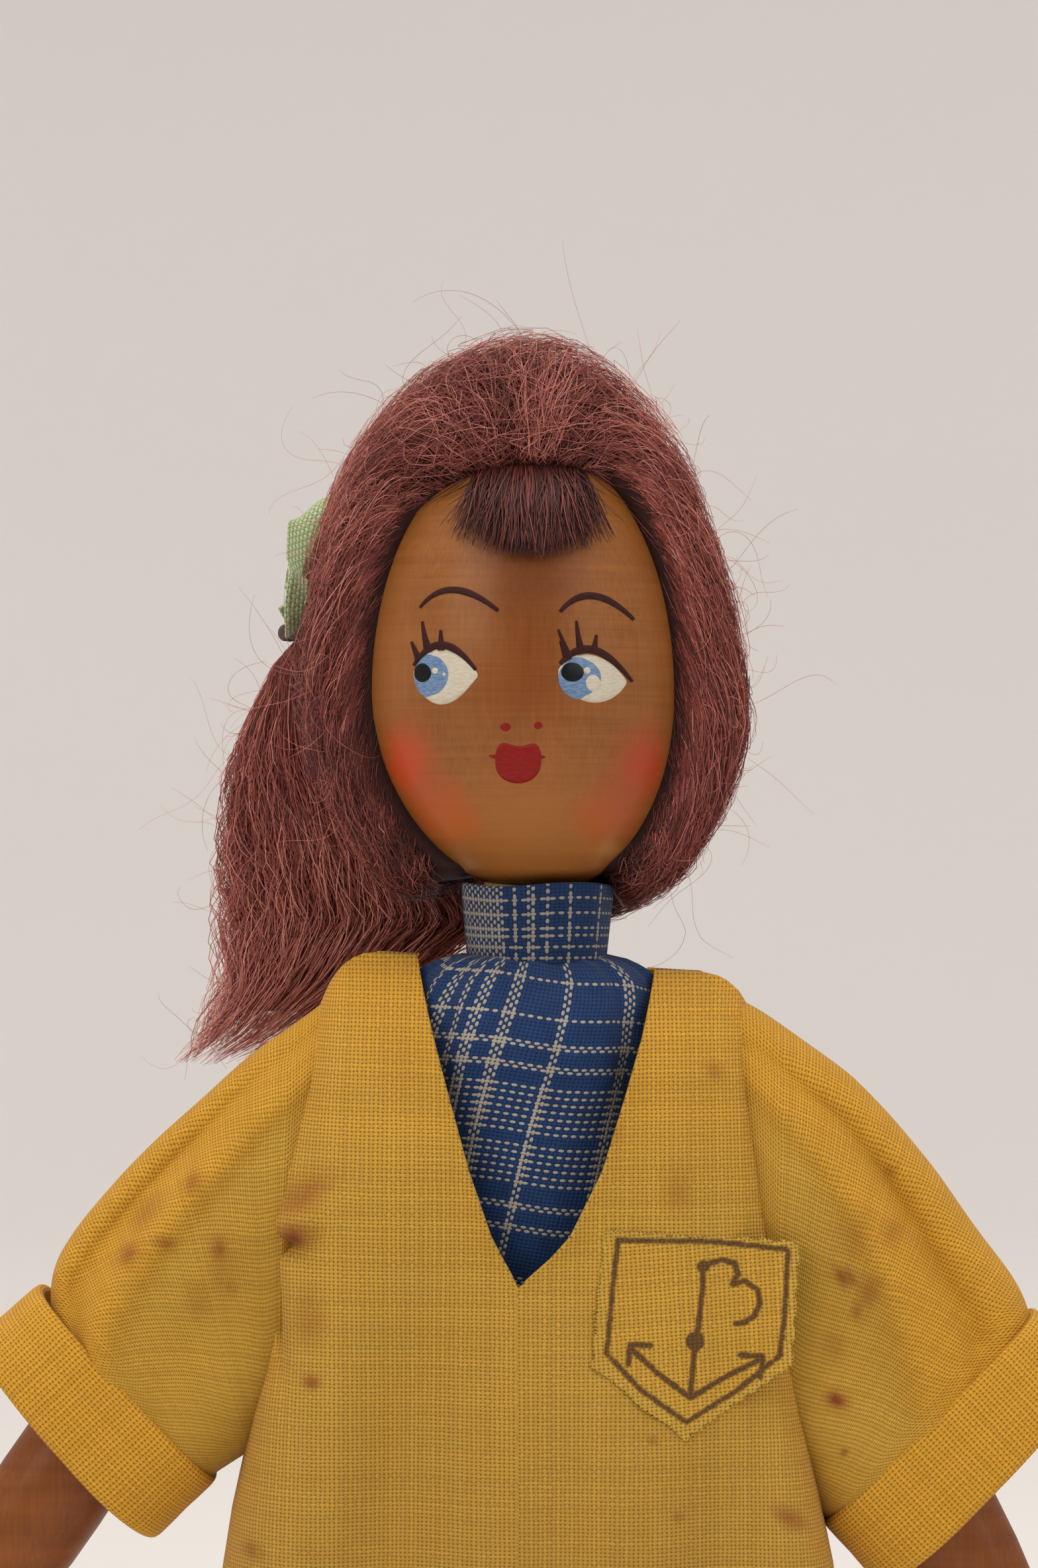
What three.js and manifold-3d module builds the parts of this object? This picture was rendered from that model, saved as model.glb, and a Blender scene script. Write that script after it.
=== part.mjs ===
// A turned-wood costume doll: a wooden head on a neck dowel, a turned torso, arms and legs that swing
// on pins, a mohair wig tied with a ribbon, and sewn cotton clothes over the wood.
// Millimetres, +Z up. The doll faces -Y and its left side is +X. The origin is on the floor, under the
// middle of the doll's bounding box.
import * as THREE from "three";
import { mergeVertices } from "three/addons/utils/BufferGeometryUtils.js";
import Module from "manifold-3d";

const wasm = await Module();
wasm.setup();

// ---------------------------------------------------------------- sizes that can be set by themselves
const gap = 0.35; // between pieces that touch or turn in each other
const cloth = 0.9; // thickness of sewn cotton, with its turnings
const hipHeight = 62; // hip pin above the floor
const hipToShoulder = 65; // torso, from hip pin to shoulder pins
const shoulderToNeck = 10.5; // shoulder pins to the top of the torso
const headDiameter = 31.4;
const headHeight = 46;
const torsoRadius = 12.4;
const torsoFlatness = 0.86; // depth of the torso as a share of its width
const neckRadius = 4;
const armLength = 72;
const armRadius = 4.8;
const wristRadius = 5.8;
const legRadius = 5;
const pinRadius = 1;
const shoeLength = 24;
const shoeWidth = 12.6;
const shoeHeight = 9;
const collarHeight = 7.8;
const smockLength = 65.5; // shoulder to hem
const smockHemWidth = 61;
const smockEase = 3.8; // how far the smock stands off the shirt, front and back
const neckOpeningDepth = 31; // from the shoulder down to the point of the V
const cuffHeight = 9.3;
const trouserRadius = 7;
const turnUpHeight = 7;
const hairSide = 6; // depth of the mohair at the sides of the head
const hairTop = 8.4; // and over its crown
const ribbonWidth = 7;
const armSpread = { left: 27.5, right: 34 }; // degrees from hanging straight down
const sleeveLength = { left: 47.2, right: 42.9 }; // along its upper edge, shoulder to cuff
const sleeveSlope = { left: 46.3, right: 48.3 }; // degrees below level, along the upper edge
const cuffSlope = { left: 46.2, right: 42.2 }; // the way the cuff faces
const cuffEase = { left: [18.4, 4.9], right: [13.1, 6.9] }; // cuff over wrist: across and in depth

// ---------------------------------------------------------------- places worked out from the sizes
const shoulderHeight = hipHeight + hipToShoulder;
const neckBase = shoulderHeight + shoulderToNeck;
const headBase = neckBase + collarHeight + gap;
const headRadius = headDiameter / 2;
const headWaist = headBase + headHeight * 0.425; // where the head is widest
const headTop = headBase + headHeight;
const smockTop = neckBase + 0.6;
const smockHem = smockTop - smockLength;
const shirtRadius = torsoRadius + gap + cloth;
const smockDepth = 2 * (shirtRadius * torsoFlatness + smockEase);
const shoulderX = shirtRadius + gap + armRadius; // centre of the ball at the top of an arm
const upperArmRadius = (armRadius + wristRadius) / 2 - 0.3;
const hipBlockWidth = 7.6;
const hipX = hipBlockWidth / 2 + gap + legRadius;
const torsoBottom = hipHeight + legRadius + gap + 0.7;
const shoeCentreY = -shoeLength * 0.17; // the toe stands out further than the heel
const sides = { left: 1, right: -1 };

// ---------------------------------------------------------------- solids
const X = new THREE.Vector3(1, 0, 0);
const Y = new THREE.Vector3(0, 1, 0);
const point = (x, y, z) => new THREE.Vector3(x, y, z);
const radians = THREE.MathUtils.degToRad;

// A closed geometry as a solid that can be joined and cut.
function solid(geometry) {
  const bare = geometry.index ? geometry.toNonIndexed() : geometry.clone();
  bare.deleteAttribute("normal");
  bare.deleteAttribute("uv");
  const merged = mergeVertices(bare, 1e-4);
  const corners = merged.index.array;
  const kept = [];
  for (let i = 0; i < corners.length; i += 3) {
    const [a, b, c] = corners.slice(i, i + 3);
    if (a !== b && b !== c && c !== a) kept.push(a, b, c);
  }
  return new wasm.Manifold(
    new wasm.Mesh({
      numProp: 3,
      vertProperties: merged.attributes.position.array,
      triVerts: new Uint32Array(kept),
    }),
  );
}

// A body of revolution about Z from [radius, height] pairs that run upwards, closed on the axis.
function turned(profile, segments = 28) {
  const points = profile.map(([r, z]) => new THREE.Vector2(r, z));
  return solid(new THREE.LatheGeometry(points, segments).rotateX(Math.PI / 2));
}

// The same, with its ends joined into flat discs or rings.
function ringWall(inner, outer, low, high, segments = 24) {
  return turned(
    [
      [inner[0], low],
      [outer[0], low],
      [outer[1], high],
      [inner[1], high],
      [inner[0], low],
    ],
    segments,
  );
}

function rod(from, to, radius, segments = 16) {
  const along = to.clone().sub(from);
  const geometry = new THREE.CylinderGeometry(radius, radius, along.length(), segments);
  geometry.applyQuaternion(new THREE.Quaternion().setFromUnitVectors(Y, along.clone().normalize()));
  geometry.translate(...from.clone().add(to).multiplyScalar(0.5).toArray());
  return solid(geometry);
}

function ball(centre, radii, segments = 16) {
  const geometry = new THREE.SphereGeometry(1, segments, Math.round(segments * 0.6));
  return solid(geometry.scale(...radii).translate(centre.x, centre.y, centre.z));
}

function block(low, high) {
  const size = high.clone().sub(low);
  const middle = low.clone().add(high).multiplyScalar(0.5);
  return solid(new THREE.BoxGeometry(...size.toArray()).translate(...middle.toArray()));
}

// A closed ring of points: centre + wide cos + deep sin, squared off as power rises above 2.
function oval(centre, wide, deep, count = 28, power = 2) {
  return Array.from({ length: count }, (_, i) => {
    const angle = (i / count) * 2 * Math.PI;
    const c = Math.cos(angle);
    const s = Math.sin(angle);
    const reach = (v) => Math.sign(v) * Math.abs(v) ** (2 / power);
    return centre.clone().addScaledVector(wide, reach(c)).addScaledVector(deep, reach(s));
  });
}

// A solid skinned over rings of equal count, with flat ends.
function loft(rings) {
  const count = rings[0].length;
  const points = rings.flat();
  const middle = (ring) =>
    ring.reduce((sum, p) => sum.add(p), point(0, 0, 0)).multiplyScalar(1 / count);
  const first = points.push(middle(rings[0])) - 1;
  const last = points.push(middle(rings.at(-1))) - 1;
  const index = [];
  const end = (rings.length - 1) * count;
  for (let i = 0; i < count; i++) {
    const j = (i + 1) % count;
    index.push(first, j, i, last, end + i, end + j);
    for (let k = 0; k < end; k += count) {
      index.push(k + i, k + j, k + count + j, k + i, k + count + j, k + count + i);
    }
  }
  const geometry = new THREE.BufferGeometry().setFromPoints(points).setIndex(index);
  const made = solid(geometry);
  if (made.volume() > 0) return made;
  for (let i = 0; i < index.length; i += 3) [index[i], index[i + 1]] = [index[i + 1], index[i]];
  return solid(new THREE.BufferGeometry().setFromPoints(points).setIndex(index));
}

function mesh(name, shape, material) {
  const made = shape.getMesh();
  const geometry = new THREE.BufferGeometry();
  geometry.setAttribute("position", new THREE.BufferAttribute(made.vertProperties, 3));
  geometry.setIndex(new THREE.BufferAttribute(made.triVerts, 1));
  geometry.computeVertexNormals();
  const piece = new THREE.Mesh(geometry, material);
  piece.name = name;
  return piece;
}

const finish = (color, roughness, metalness = 0) =>
  new THREE.MeshStandardMaterial({ color, roughness, metalness });
const lacqueredWood = finish("#c08a55", 0.4);
const bareWood = finish("#cfa87a", 0.7);
const paintedWood = finish("#3c2417", 0.35);
const steel = finish("#a8a8a4", 0.35, 1);
const yellowCotton = finish("#d9a23c", 0.9);
const checkedCotton = finish("#3c5f9a", 0.9);
const navyCotton = finish("#2c3f66", 0.9);
const mohair = finish("#7d4a44", 0.8);
const greenRibbon = finish("#b4c59c", 0.5);
const rubber = finish("#6b4a42", 0.8);

// ---------------------------------------------------------------- torso, neck and pins
// Radius of the turned torso as a share of its largest, up from its bottom and then down to the chest.
const chest = neckBase - 14;
const torsoProfile = [
  [torsoBottom, 0.84],
  [torsoBottom + 4.2, 0.93],
  [THREE.MathUtils.lerp(torsoBottom, chest, 0.5), 0.9],
  [THREE.MathUtils.lerp(torsoBottom, chest, 0.78), 0.97],
  [chest, 1],
  [neckBase - 8.4, 0.93],
  [neckBase - 3.5, 0.66],
  [neckBase, 0.42],
].map(([z, share]) => [torsoRadius * share, z]);

function torsoShape(grow) {
  const wall = torsoProfile.map(([r, z]) => [r + grow, z]);
  const closed = [[0, wall[0][1]], ...wall, [0, wall.at(-1)[1]]];
  return turned(closed).scale([1, torsoFlatness, 1]);
}

function pinHoles(height, reach, radius) {
  return rod(point(-reach, 0, height), point(reach, 0, height), radius);
}

function makeTorso() {
  const half = hipBlockWidth / 2;
  const blockDepth = legRadius + 0.5;
  const hipBlock = block(
    point(-half, -blockDepth, hipHeight),
    point(half, blockDepth, torsoBottom + 3),
  ).add(rod(point(-half, 0, hipHeight), point(half, 0, hipHeight), blockDepth, 24));
  return torsoShape(0)
    .add(hipBlock)
    .subtract(rod(point(0, 0, neckBase - 14), point(0, 0, neckBase + 1), neckRadius + gap))
    .subtract(pinHoles(hipHeight, shoulderX, pinRadius + gap))
    .subtract(pinHoles(shoulderHeight, shoulderX, pinRadius + gap));
}

const neckTop = headBase + headHeight * 0.24;
const neckDowel = rod(point(0, 0, neckBase - 13.5), point(0, 0, neckTop), neckRadius, 20);

const pinHeadRadius = pinRadius * 2.2;
const pinHeadX = shoulderX + armRadius * 0.72; // the head is sunk in the ball of the arm

function makeShoulderPin(side) {
  const inner = point(side * 6.5, 0, shoulderHeight);
  const outer = point(side * pinHeadX, 0, shoulderHeight);
  const headEnd = point(side * (pinHeadX + 1), 0, shoulderHeight);
  return rod(inner, outer, pinRadius, 12).add(rod(outer, headEnd, pinHeadRadius, 16));
}

function makeHipPin() {
  const reach = hipX + legRadius + gap;
  const shank = rod(point(-reach, 0, hipHeight), point(reach, 0, hipHeight), pinRadius, 12);
  return Object.values(sides).reduce(
    (pin, side) =>
      pin.add(
        rod(
          point(side * reach, 0, hipHeight),
          point(side * (reach + 0.8), 0, hipHeight),
          pinHeadRadius,
        ),
      ),
    shank,
  );
}

// ---------------------------------------------------------------- head and hair
// Half an ellipse above the widest ring and half a rounder one below it, grown by side, up and down.
function egg(side, up, down, foot, segments = 32) {
  const radius = headRadius + side;
  const above = headTop - headWaist + up;
  const below = (headWaist - headBase) * 1.055 + down;
  const rows = [[0, foot]];
  const lowest = Math.asin(Math.min(1, (headWaist - foot) / below));
  for (let i = 0; i <= 6; i++) {
    const a = lowest * (1 - i / 6);
    rows.push([radius * Math.cos(a), headWaist - below * Math.sin(a)]);
  }
  for (let i = 1; i <= 9; i++) {
    const a = ((i / 9) * Math.PI) / 2;
    rows.push([i === 9 ? 0 : radius * Math.cos(a), headWaist + above * Math.sin(a)]);
  }
  return turned(rows, segments);
}

const neckSocket = rod(point(0, 0, headBase - 1), point(0, 0, neckTop + gap), neckRadius + gap, 20);
const head = egg(0, 0, 0, headBase).subtract(neckSocket);

// The wig is one hollow shell, open over the face, then parted into crown, side hair and fringe.
const wigOuter = egg(hairSide, hairTop, 0.8, headBase + 2, 32);
const faceHeight = headTop - headBase - 4.5;
const faceOpening = (grow) =>
  loft(
    [-40, 2.5].map((y) =>
      oval(
        point(0, y, headBase + faceHeight / 2 - 1),
        point(headRadius - 0.3 + grow, 0, 0),
        point(0, 0, faceHeight / 2 + 1 + grow),
      ),
    ),
  );
const neckClearance = rod(point(0, 0, neckBase - 2), point(0, 0, headBase + 9), 10.5, 24);
const wigShell = wigOuter
  .subtract(egg(gap, gap, gap, headBase - 0.2))
  .subtract(faceOpening(0))
  .subtract(neckClearance);
const partingHeight = headWaist + 15;
const partingDepth = 3;
const big = headDiameter * 2;
const sideHairZone = (side) =>
  block(
    point(side > 0 ? 0.2 : -big, -big, headBase - 10),
    point(side > 0 ? big : -0.2, partingDepth - gap / 2, partingHeight - gap / 2),
  );
const crownZone = block(point(-big, -big, headBase - 10), point(big, big, headTop + 20)).subtract(
  block(point(-big, -big, 0), point(big, partingDepth + gap / 2, partingHeight + gap / 2)),
);
const fringeTop = headTop - 5.4;
const fringe = egg(2.3, 2.3, 0, headBase)
  .subtract(egg(gap, gap, 0, headBase - 1))
  .intersect(block(point(-7, -big, fringeTop - 8.6), point(9, -2, fringeTop)))
  .intersect(faceOpening(-gap - 0.2));

// The pony-tail hangs behind the doll's right shoulder, below the elastic that gathers it.
const tie = point(-(headRadius + 5.6), 12.6, headWaist + 6.5);
const tailPath = [
  [0, 0, -1.6, 3.6, 3.6],
  [-1.6, 1, -6, 6, 5.4],
  [-1.4, 2.4, -16, 7.6, 6],
  [-0.4, 3.2, -26, 8, 5.6],
  [-2, 3.8, -34, 6.6, 4.6],
  [-5, 4, -41.5, 3.6, 3],
];
const ponytail = loft(
  tailPath.map(([x, y, z, wide, deep]) =>
    oval(tie.clone().add(point(x, y, z)), point(wide, 0, 0), point(0, deep, 0), 16),
  ),
).subtract(egg(hairSide + gap, hairTop, 0.8 + gap, headBase + 1.6));
const ponytailTie = rod(
  tie.clone().add(point(0, 0, -1.6 + gap)),
  tie.clone().add(point(0, 0, 0.6)),
  4.4,
).subtract(egg(hairSide + gap, hairTop, 0.8 + gap, headBase + 1.6));

// A bow of woven ribbon, tied round the gathered hair with its loops up and down.
const knotCentre = tie.clone().add(point(-1.2, -1, 2.7 + gap));
const bowClear = (shape) => shape.subtract(egg(hairSide + gap, hairTop, 1, headBase + 1.6));
const ribbonKnot = bowClear(ball(knotCentre, [3, 3, 1.8], 12));
const loopHeight = ribbonWidth * 0.62;
const upperLoop = bowClear(
  ball(knotCentre.clone().add(point(0.2, -2, 2 + gap + loopHeight)), [3, 4, loopHeight], 14),
).subtract(ball(knotCentre, [3.4, 3.4, 2.2], 12));
const lowerLoop = bowClear(
  ball(point(tie.x - 2.4, tie.y - 9.4, tie.z + 0.6), [2.6, 3.4, ribbonWidth * 0.5], 14),
);
const makeTail = (across) =>
  loft(
    [
      [1, 3.9, -0.5],
      [1.1, 8, -3],
      [1.3, 9.6, -9],
      [1.6, 10, -19],
    ].map(([spread, y, z]) =>
      oval(
        knotCentre.clone().add(point(across * spread, y, z)),
        point(ribbonWidth * 0.28, 0, 0),
        point(0, 0.35, 0),
        12,
      ),
    ),
  );

// ---------------------------------------------------------------- limbs
function makeArm(side) {
  const spread = radians(armSpread[side]);
  const profile = [
    [0, armRadius],
    [armRadius * 0.7, armRadius * 0.7],
    [armRadius, 0],
    [armRadius, -armLength * 0.15],
    [upperArmRadius, -armLength * 0.42],
    [wristRadius, -armLength * 0.68],
    [wristRadius * 1.02, -armLength * 0.82],
    [wristRadius * 0.86, -armLength * 0.93],
    [wristRadius * 0.5, -armLength * 0.985],
    [0, -armLength],
  ].reverse();
  const across = X.clone().applyAxisAngle(Y, sides[side] * spread);
  const reach = across.clone().multiplyScalar(armRadius * 2);
  const out = across.clone().multiplyScalar(sides[side]);
  const recess = out.clone().multiplyScalar(armRadius * 0.72 - gap);
  const thumbNotch = rod(
    point(-wristRadius * 0.62, -wristRadius * 2, -armLength * 0.86),
    point(-wristRadius * 0.62, wristRadius * 2, -armLength * 1.02),
    0.5,
    8,
  );
  return turned(profile, 20)
    .subtract(rod(reach.clone().negate(), reach, pinRadius + gap))
    .subtract(rod(recess, out.clone().multiplyScalar(armRadius * 2), pinHeadRadius + gap))
    .subtract(thumbNotch);
}

const legDrop = hipHeight - shoeHeight * 0.55; // the leg ends inside the shoe
const ankle = -hipHeight + shoeHeight;

const leg = turned(
  [
    [0, -legDrop],
    [legRadius, -legDrop],
    [legRadius, 0],
    [legRadius * 0.7, legRadius * 0.7],
    [0, legRadius],
  ],
  20,
).subtract(rod(point(-9, 0, 0), point(9, 0, 0), pinRadius + gap));

const shoe = loft(
  [
    [0, 0.95, 0],
    [0.9, 1, 0],
    [shoeHeight * 0.45, 1, 0],
    [shoeHeight * 0.72, 0.9, 0.6],
    [shoeHeight * 0.9, 0.72, 1.8],
    [shoeHeight, 0.56, 2.6],
  ].map(([z, share, back]) =>
    oval(
      point(0, shoeCentreY + back, z - hipHeight),
      point((shoeWidth / 2) * Math.max(share, (legRadius + 1) / (shoeWidth / 2)), 0, 0),
      point(0, (shoeLength / 2) * share, 0),
      24,
      2.3,
    ),
  ),
).subtract(rod(point(0, 0, -legDrop - gap), point(0, 0, ankle + 2), legRadius + gap, 20));

// ---------------------------------------------------------------- clothes
const shirtBodice = torsoShape(gap + cloth)
  .add(rod(point(0, 0, neckBase - 3), point(0, 0, neckBase), neckRadius + 2.2))
  .subtract(torsoShape(gap))
  .subtract(rod(point(0, 0, neckBase - 6), point(0, 0, neckBase + 2), neckRadius + gap))
  .subtract(block(point(-big, -big, 0), point(big, big, shoulderHeight - hipToShoulder * 0.52)))
  .subtract(pinHoles(shoulderHeight, shoulderX, pinRadius + gap));

const collar = ringWall(
  [neckRadius + 2, neckRadius + 2.7],
  [neckRadius + 3.1, neckRadius + 3.9],
  neckBase + gap,
  headBase - gap,
);

// Half width and half depth of the smock at heights given as drops below its top.
const smockSections = [
  [0, 0.53, 0.26],
  [1.4, 0.6, 0.42],
  [4.4, 0.67, 0.66],
  [10, 0.74, 0.87],
  [19, 0.8, 0.94],
  [32, 0.86, 0.97],
  [45, 0.92, 0.99],
  [57, 0.98, 1.01],
  [smockLength, 1, 1.03],
].map(([drop, wide, deep]) => [smockTop - drop, (smockHemWidth / 2) * wide, (smockDepth / 2) * deep]);

function smockShape(grow, foot = 0) {
  const rings = smockSections.map(([z, wide, deep], i) => {
    const height = i === 0 ? z + grow : z;
    const low = i === smockSections.length - 1 ? foot : 0;
    return oval(point(0, 0, height - low), point(wide + grow, 0, 0), point(0, deep + grow, 0), 32, 2.6);
  });
  return loft(rings);
}

// The armholes part the smock from the sleeves on a surface of revolution about the shoulder pins,
// so the sleeves can swing with the arms and never meet the smock.
function parting(grow) {
  const steep = Math.tan(radians(armSpread.left));
  const thickest = Math.max(armRadius, upperArmRadius);
  const start = shoulderX - thickest / Math.cos(radians(armSpread.left)) - gap + grow;
  const bend = 31;
  const far = 90;
  const atBend = start + steep * bend;
  const atFar = atBend + 0.13 * (far - bend);
  const profile = [
    [0, -start],
    [bend, -atBend],
    [far, -atFar],
    [far, atFar],
    [bend, atBend],
    [0, start],
  ];
  const points = profile.map(([r, x]) => new THREE.Vector2(r, x));
  const lathe = new THREE.LatheGeometry(points, 48).rotateZ(-Math.PI / 2);
  return solid(lathe.translate(0, 0, shoulderHeight));
}

const neckOpening = loft(
  [smockTop - 8, smockTop + 9].map((z) => oval(point(1.4, 0.6, z), point(11, 0, 0), point(0, 9, 0))),
).subtract(block(point(-big, -big, 0), point(big, big, smockTop - 2.6)));
const vShape = new THREE.Shape([
  new THREE.Vector2(-0.2, smockTop - neckOpeningDepth),
  new THREE.Vector2(14.6, smockTop + 3),
  new THREE.Vector2(-10.8, smockTop + 3),
]);
const vNeck = solid(
  new THREE.ExtrudeGeometry(vShape, { depth: big, bevelEnabled: false }).rotateX(Math.PI / 2),
);
const smock = smockShape(0)
  .subtract(smockShape(-cloth, 2))
  .subtract(neckOpening)
  .subtract(vNeck)
  .intersect(parting(-0.3));

const pocketWidth = 19.6;
const pocketDrop = 21;
const pocketCorner = point(8.2, 0, smockTop - 26.4);
const pocketShape = new THREE.Shape([
  new THREE.Vector2(pocketCorner.x, pocketCorner.z),
  new THREE.Vector2(pocketCorner.x + pocketWidth, pocketCorner.z - 1.2),
  new THREE.Vector2(pocketCorner.x + pocketWidth - 0.8, pocketCorner.z - pocketDrop * 0.69),
  new THREE.Vector2(pocketCorner.x + pocketWidth * 0.42, pocketCorner.z - pocketDrop),
  new THREE.Vector2(pocketCorner.x - 1, pocketCorner.z - pocketDrop * 0.67),
]);
const pocketPrism = solid(
  new THREE.ExtrudeGeometry(pocketShape, { depth: big, bevelEnabled: false })
    .rotateX(Math.PI / 2)
    .translate(0, -3, 0),
);
const pocket = pocketPrism
  .intersect(smockShape(gap + cloth * 0.7))
  .subtract(smockShape(gap))
  .intersect(parting(-0.3));

const cuffDepth = (side) => cuffEase[side][1] + wristRadius * 2;

// A sleeve runs from a long, slanting line at the armhole to a short one at the cuff.
function sleeveLines(side) {
  const heading = (degrees) => point(Math.cos(radians(degrees)), 0, -Math.sin(radians(degrees)));
  const along = heading(cuffSlope[side]);
  const across = heading(cuffSlope[side] + 90);
  const top = point(shoulderX + 1, 0, smockTop - 1.8);
  const cuffTop = top.clone().addScaledVector(heading(sleeveSlope[side]), sleeveLength[side]);
  return {
    along,
    inner: [top, point(smockHemWidth * 0.44, 0, smockTop - 49.5)],
    outer: [cuffTop, cuffTop.clone().addScaledVector(across, cuffEase[side][0] + wristRadius * 2)],
  };
}

function flatTube(lines, depths, grow) {
  return loft(
    lines.map(([high, low], i) => {
      const middle = high.clone().add(low).multiplyScalar(0.5);
      const half = high.clone().sub(middle);
      half.setLength(half.length() + grow);
      return oval(middle, half, point(0, depths[i] / 2 + grow, 0), 24, 2.2);
    }),
  );
}

const between = ([a, b], [c, d], t) => [a.clone().lerp(c, t), b.clone().lerp(d, t)];
const shifted = ([a, b], along, by) => [a, b].map((p) => p.clone().addScaledVector(along, by));
const mirror = (shape, side) => (sides[side] > 0 ? shape : shape.scale([-1, 1, 1]));

function makeSleeve(side) {
  const { inner, outer } = sleeveLines(side);
  const steps = [0, 0.35, 0.7, 1];
  const depths = [0, ...steps].map((t) => THREE.MathUtils.lerp(18.5, cuffDepth(side), t));
  const lines = steps.map((t) => between(inner, outer, t));
  const root = shifted(inner, point(-1, 0, 0.15), 5);
  const beyond = shifted(outer, sleeveLines(side).along, 1);
  const hollow = [shifted(root, X, -1), ...lines.slice(0, -1), beyond];
  const tube = flatTube([root, ...lines], depths, 0).subtract(flatTube(hollow, depths, -cloth));
  return mirror(tube.subtract(parting(0.3)), side);
}

function makeCuff(side) {
  const { outer, along } = sleeveLines(side);
  const depth = cuffDepth(side);
  const lines = [gap, cuffHeight].map((by) => shifted(outer, along, by));
  const hollow = [gap - 1, cuffHeight + 1].map((by) => shifted(outer, along, by));
  const band = flatTube(lines, [depth, depth], cloth);
  return mirror(band.subtract(flatTube(hollow, [depth, depth], -cloth)).subtract(parting(0.3)), side);
}

const trouserTop = hipHeight - legRadius - 3;
const trouserFoot = shoeHeight + 6;
const trouserLeg = ringWall(
  [legRadius + gap, legRadius + gap],
  [trouserRadius, trouserRadius],
  trouserFoot - hipHeight,
  trouserTop - hipHeight,
);
const turnUp = ringWall(
  [trouserRadius + gap, trouserRadius + gap],
  [trouserRadius + gap + cloth, trouserRadius + gap + cloth],
  trouserFoot - 1 - hipHeight,
  trouserFoot - 1 + turnUpHeight - hipHeight,
);
const waistFoot = hipHeight + trouserRadius + 1.6;
const trouserWaist = torsoShape(gap + cloth)
  .subtract(torsoShape(gap))
  .intersect(block(point(-big, -big, waistFoot), point(big, big, waistFoot + hipToShoulder * 0.2)));

// ---------------------------------------------------------------- the doll
const doll = new THREE.Group();
doll.add(
  mesh("torso", makeTorso(), bareWood),
  mesh("neck_dowel", neckDowel, bareWood),
  mesh("hip_pin", makeHipPin(), steel),
  mesh("shirt_bodice", shirtBodice, checkedCotton),
  mesh("shirt_collar", collar, checkedCotton),
  mesh("smock_body", smock, yellowCotton),
  mesh("smock_pocket", pocket, yellowCotton),
  mesh("trouser_waist", trouserWaist, navyCotton),
  mesh("head", head, lacqueredWood),
  mesh("wig_crown", wigShell.intersect(crownZone), mohair),
  mesh("fringe", fringe, mohair),
  mesh("ponytail", ponytail, mohair),
  mesh("ponytail_tie", ponytailTie, rubber),
  mesh("ribbon_knot", ribbonKnot, greenRibbon),
  mesh("ribbon_loop_upper", upperLoop, greenRibbon),
  mesh("ribbon_loop_lower", lowerLoop, greenRibbon),
  mesh("ribbon_tail_inner", makeTail(2.3), greenRibbon),
  mesh("ribbon_tail_outer", makeTail(-2.3), greenRibbon),
);

for (const [side, sign] of Object.entries(sides)) {
  doll.add(
    mesh(`${side}_shoulder_pin`, makeShoulderPin(sign), steel),
    mesh(`${side}_sleeve`, makeSleeve(side), yellowCotton),
    mesh(`${side}_cuff`, makeCuff(side), yellowCotton),
    mesh(`${side}_side_hair`, wigShell.intersect(sideHairZone(sign)), mohair),
  );
  const armGroup = new THREE.Group();
  armGroup.position.set(sign * shoulderX, 0, shoulderHeight);
  armGroup.rotation.y = -sign * radians(armSpread[side]);
  armGroup.add(mesh(`${side}_arm`, makeArm(side), lacqueredWood));
  const legGroup = new THREE.Group();
  legGroup.position.set(sign * hipX, 0, hipHeight);
  legGroup.add(
    mesh(`${side}_leg`, leg, lacqueredWood),
    mesh(`${side}_shoe`, shoe, paintedWood),
    mesh(`${side}_trouser_leg`, trouserLeg, navyCotton),
    mesh(`${side}_turn_up`, turnUp, navyCotton),
  );
  doll.add(armGroup, legGroup);
}

// The doll stands with the bottom centre of its box on the origin.
const box = new THREE.Box3().setFromObject(doll, true);
doll.position.set(-(box.min.x + box.max.x) / 2, -(box.min.y + box.max.y) / 2, -box.min.z);

export default doll;
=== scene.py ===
import bpy
import numpy as np
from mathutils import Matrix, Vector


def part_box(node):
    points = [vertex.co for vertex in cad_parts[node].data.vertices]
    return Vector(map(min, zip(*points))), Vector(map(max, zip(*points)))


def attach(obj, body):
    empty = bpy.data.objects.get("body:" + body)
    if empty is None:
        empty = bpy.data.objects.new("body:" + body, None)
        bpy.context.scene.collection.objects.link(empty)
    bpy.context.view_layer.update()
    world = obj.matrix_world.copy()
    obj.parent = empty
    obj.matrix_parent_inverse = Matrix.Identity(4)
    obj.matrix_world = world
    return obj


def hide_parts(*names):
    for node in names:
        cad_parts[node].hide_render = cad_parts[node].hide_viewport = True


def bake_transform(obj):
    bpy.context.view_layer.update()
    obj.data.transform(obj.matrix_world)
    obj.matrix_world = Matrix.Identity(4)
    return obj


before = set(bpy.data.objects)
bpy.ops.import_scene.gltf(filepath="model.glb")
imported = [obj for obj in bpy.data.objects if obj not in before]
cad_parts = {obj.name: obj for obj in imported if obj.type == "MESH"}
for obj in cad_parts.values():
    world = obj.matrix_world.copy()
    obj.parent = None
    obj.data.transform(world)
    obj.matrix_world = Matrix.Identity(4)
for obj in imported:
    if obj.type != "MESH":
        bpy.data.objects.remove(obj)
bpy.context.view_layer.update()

# ---------------------------------------------------------------- camera, sweep and lamps
# A level camera, half a metre in front of the doll, sees it from the hips up. The doll stands in
# the middle of a round paper sweep, under two large soft boxes and a top light.
RADIANS = np.pi / 180
torso_low, torso_high = (np.array(corner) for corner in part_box("torso"))
doll_axis = (torso_low + torso_high) / 2 * [1, 1, 0]  # metres, on the floor
CAMERA_HEIGHT, CAMERA_AWAY = 155.7, 620.0
VIEW_HEIGHT = 159.2  # millimetres of the doll's middle plane, top to bottom of the picture


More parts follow.
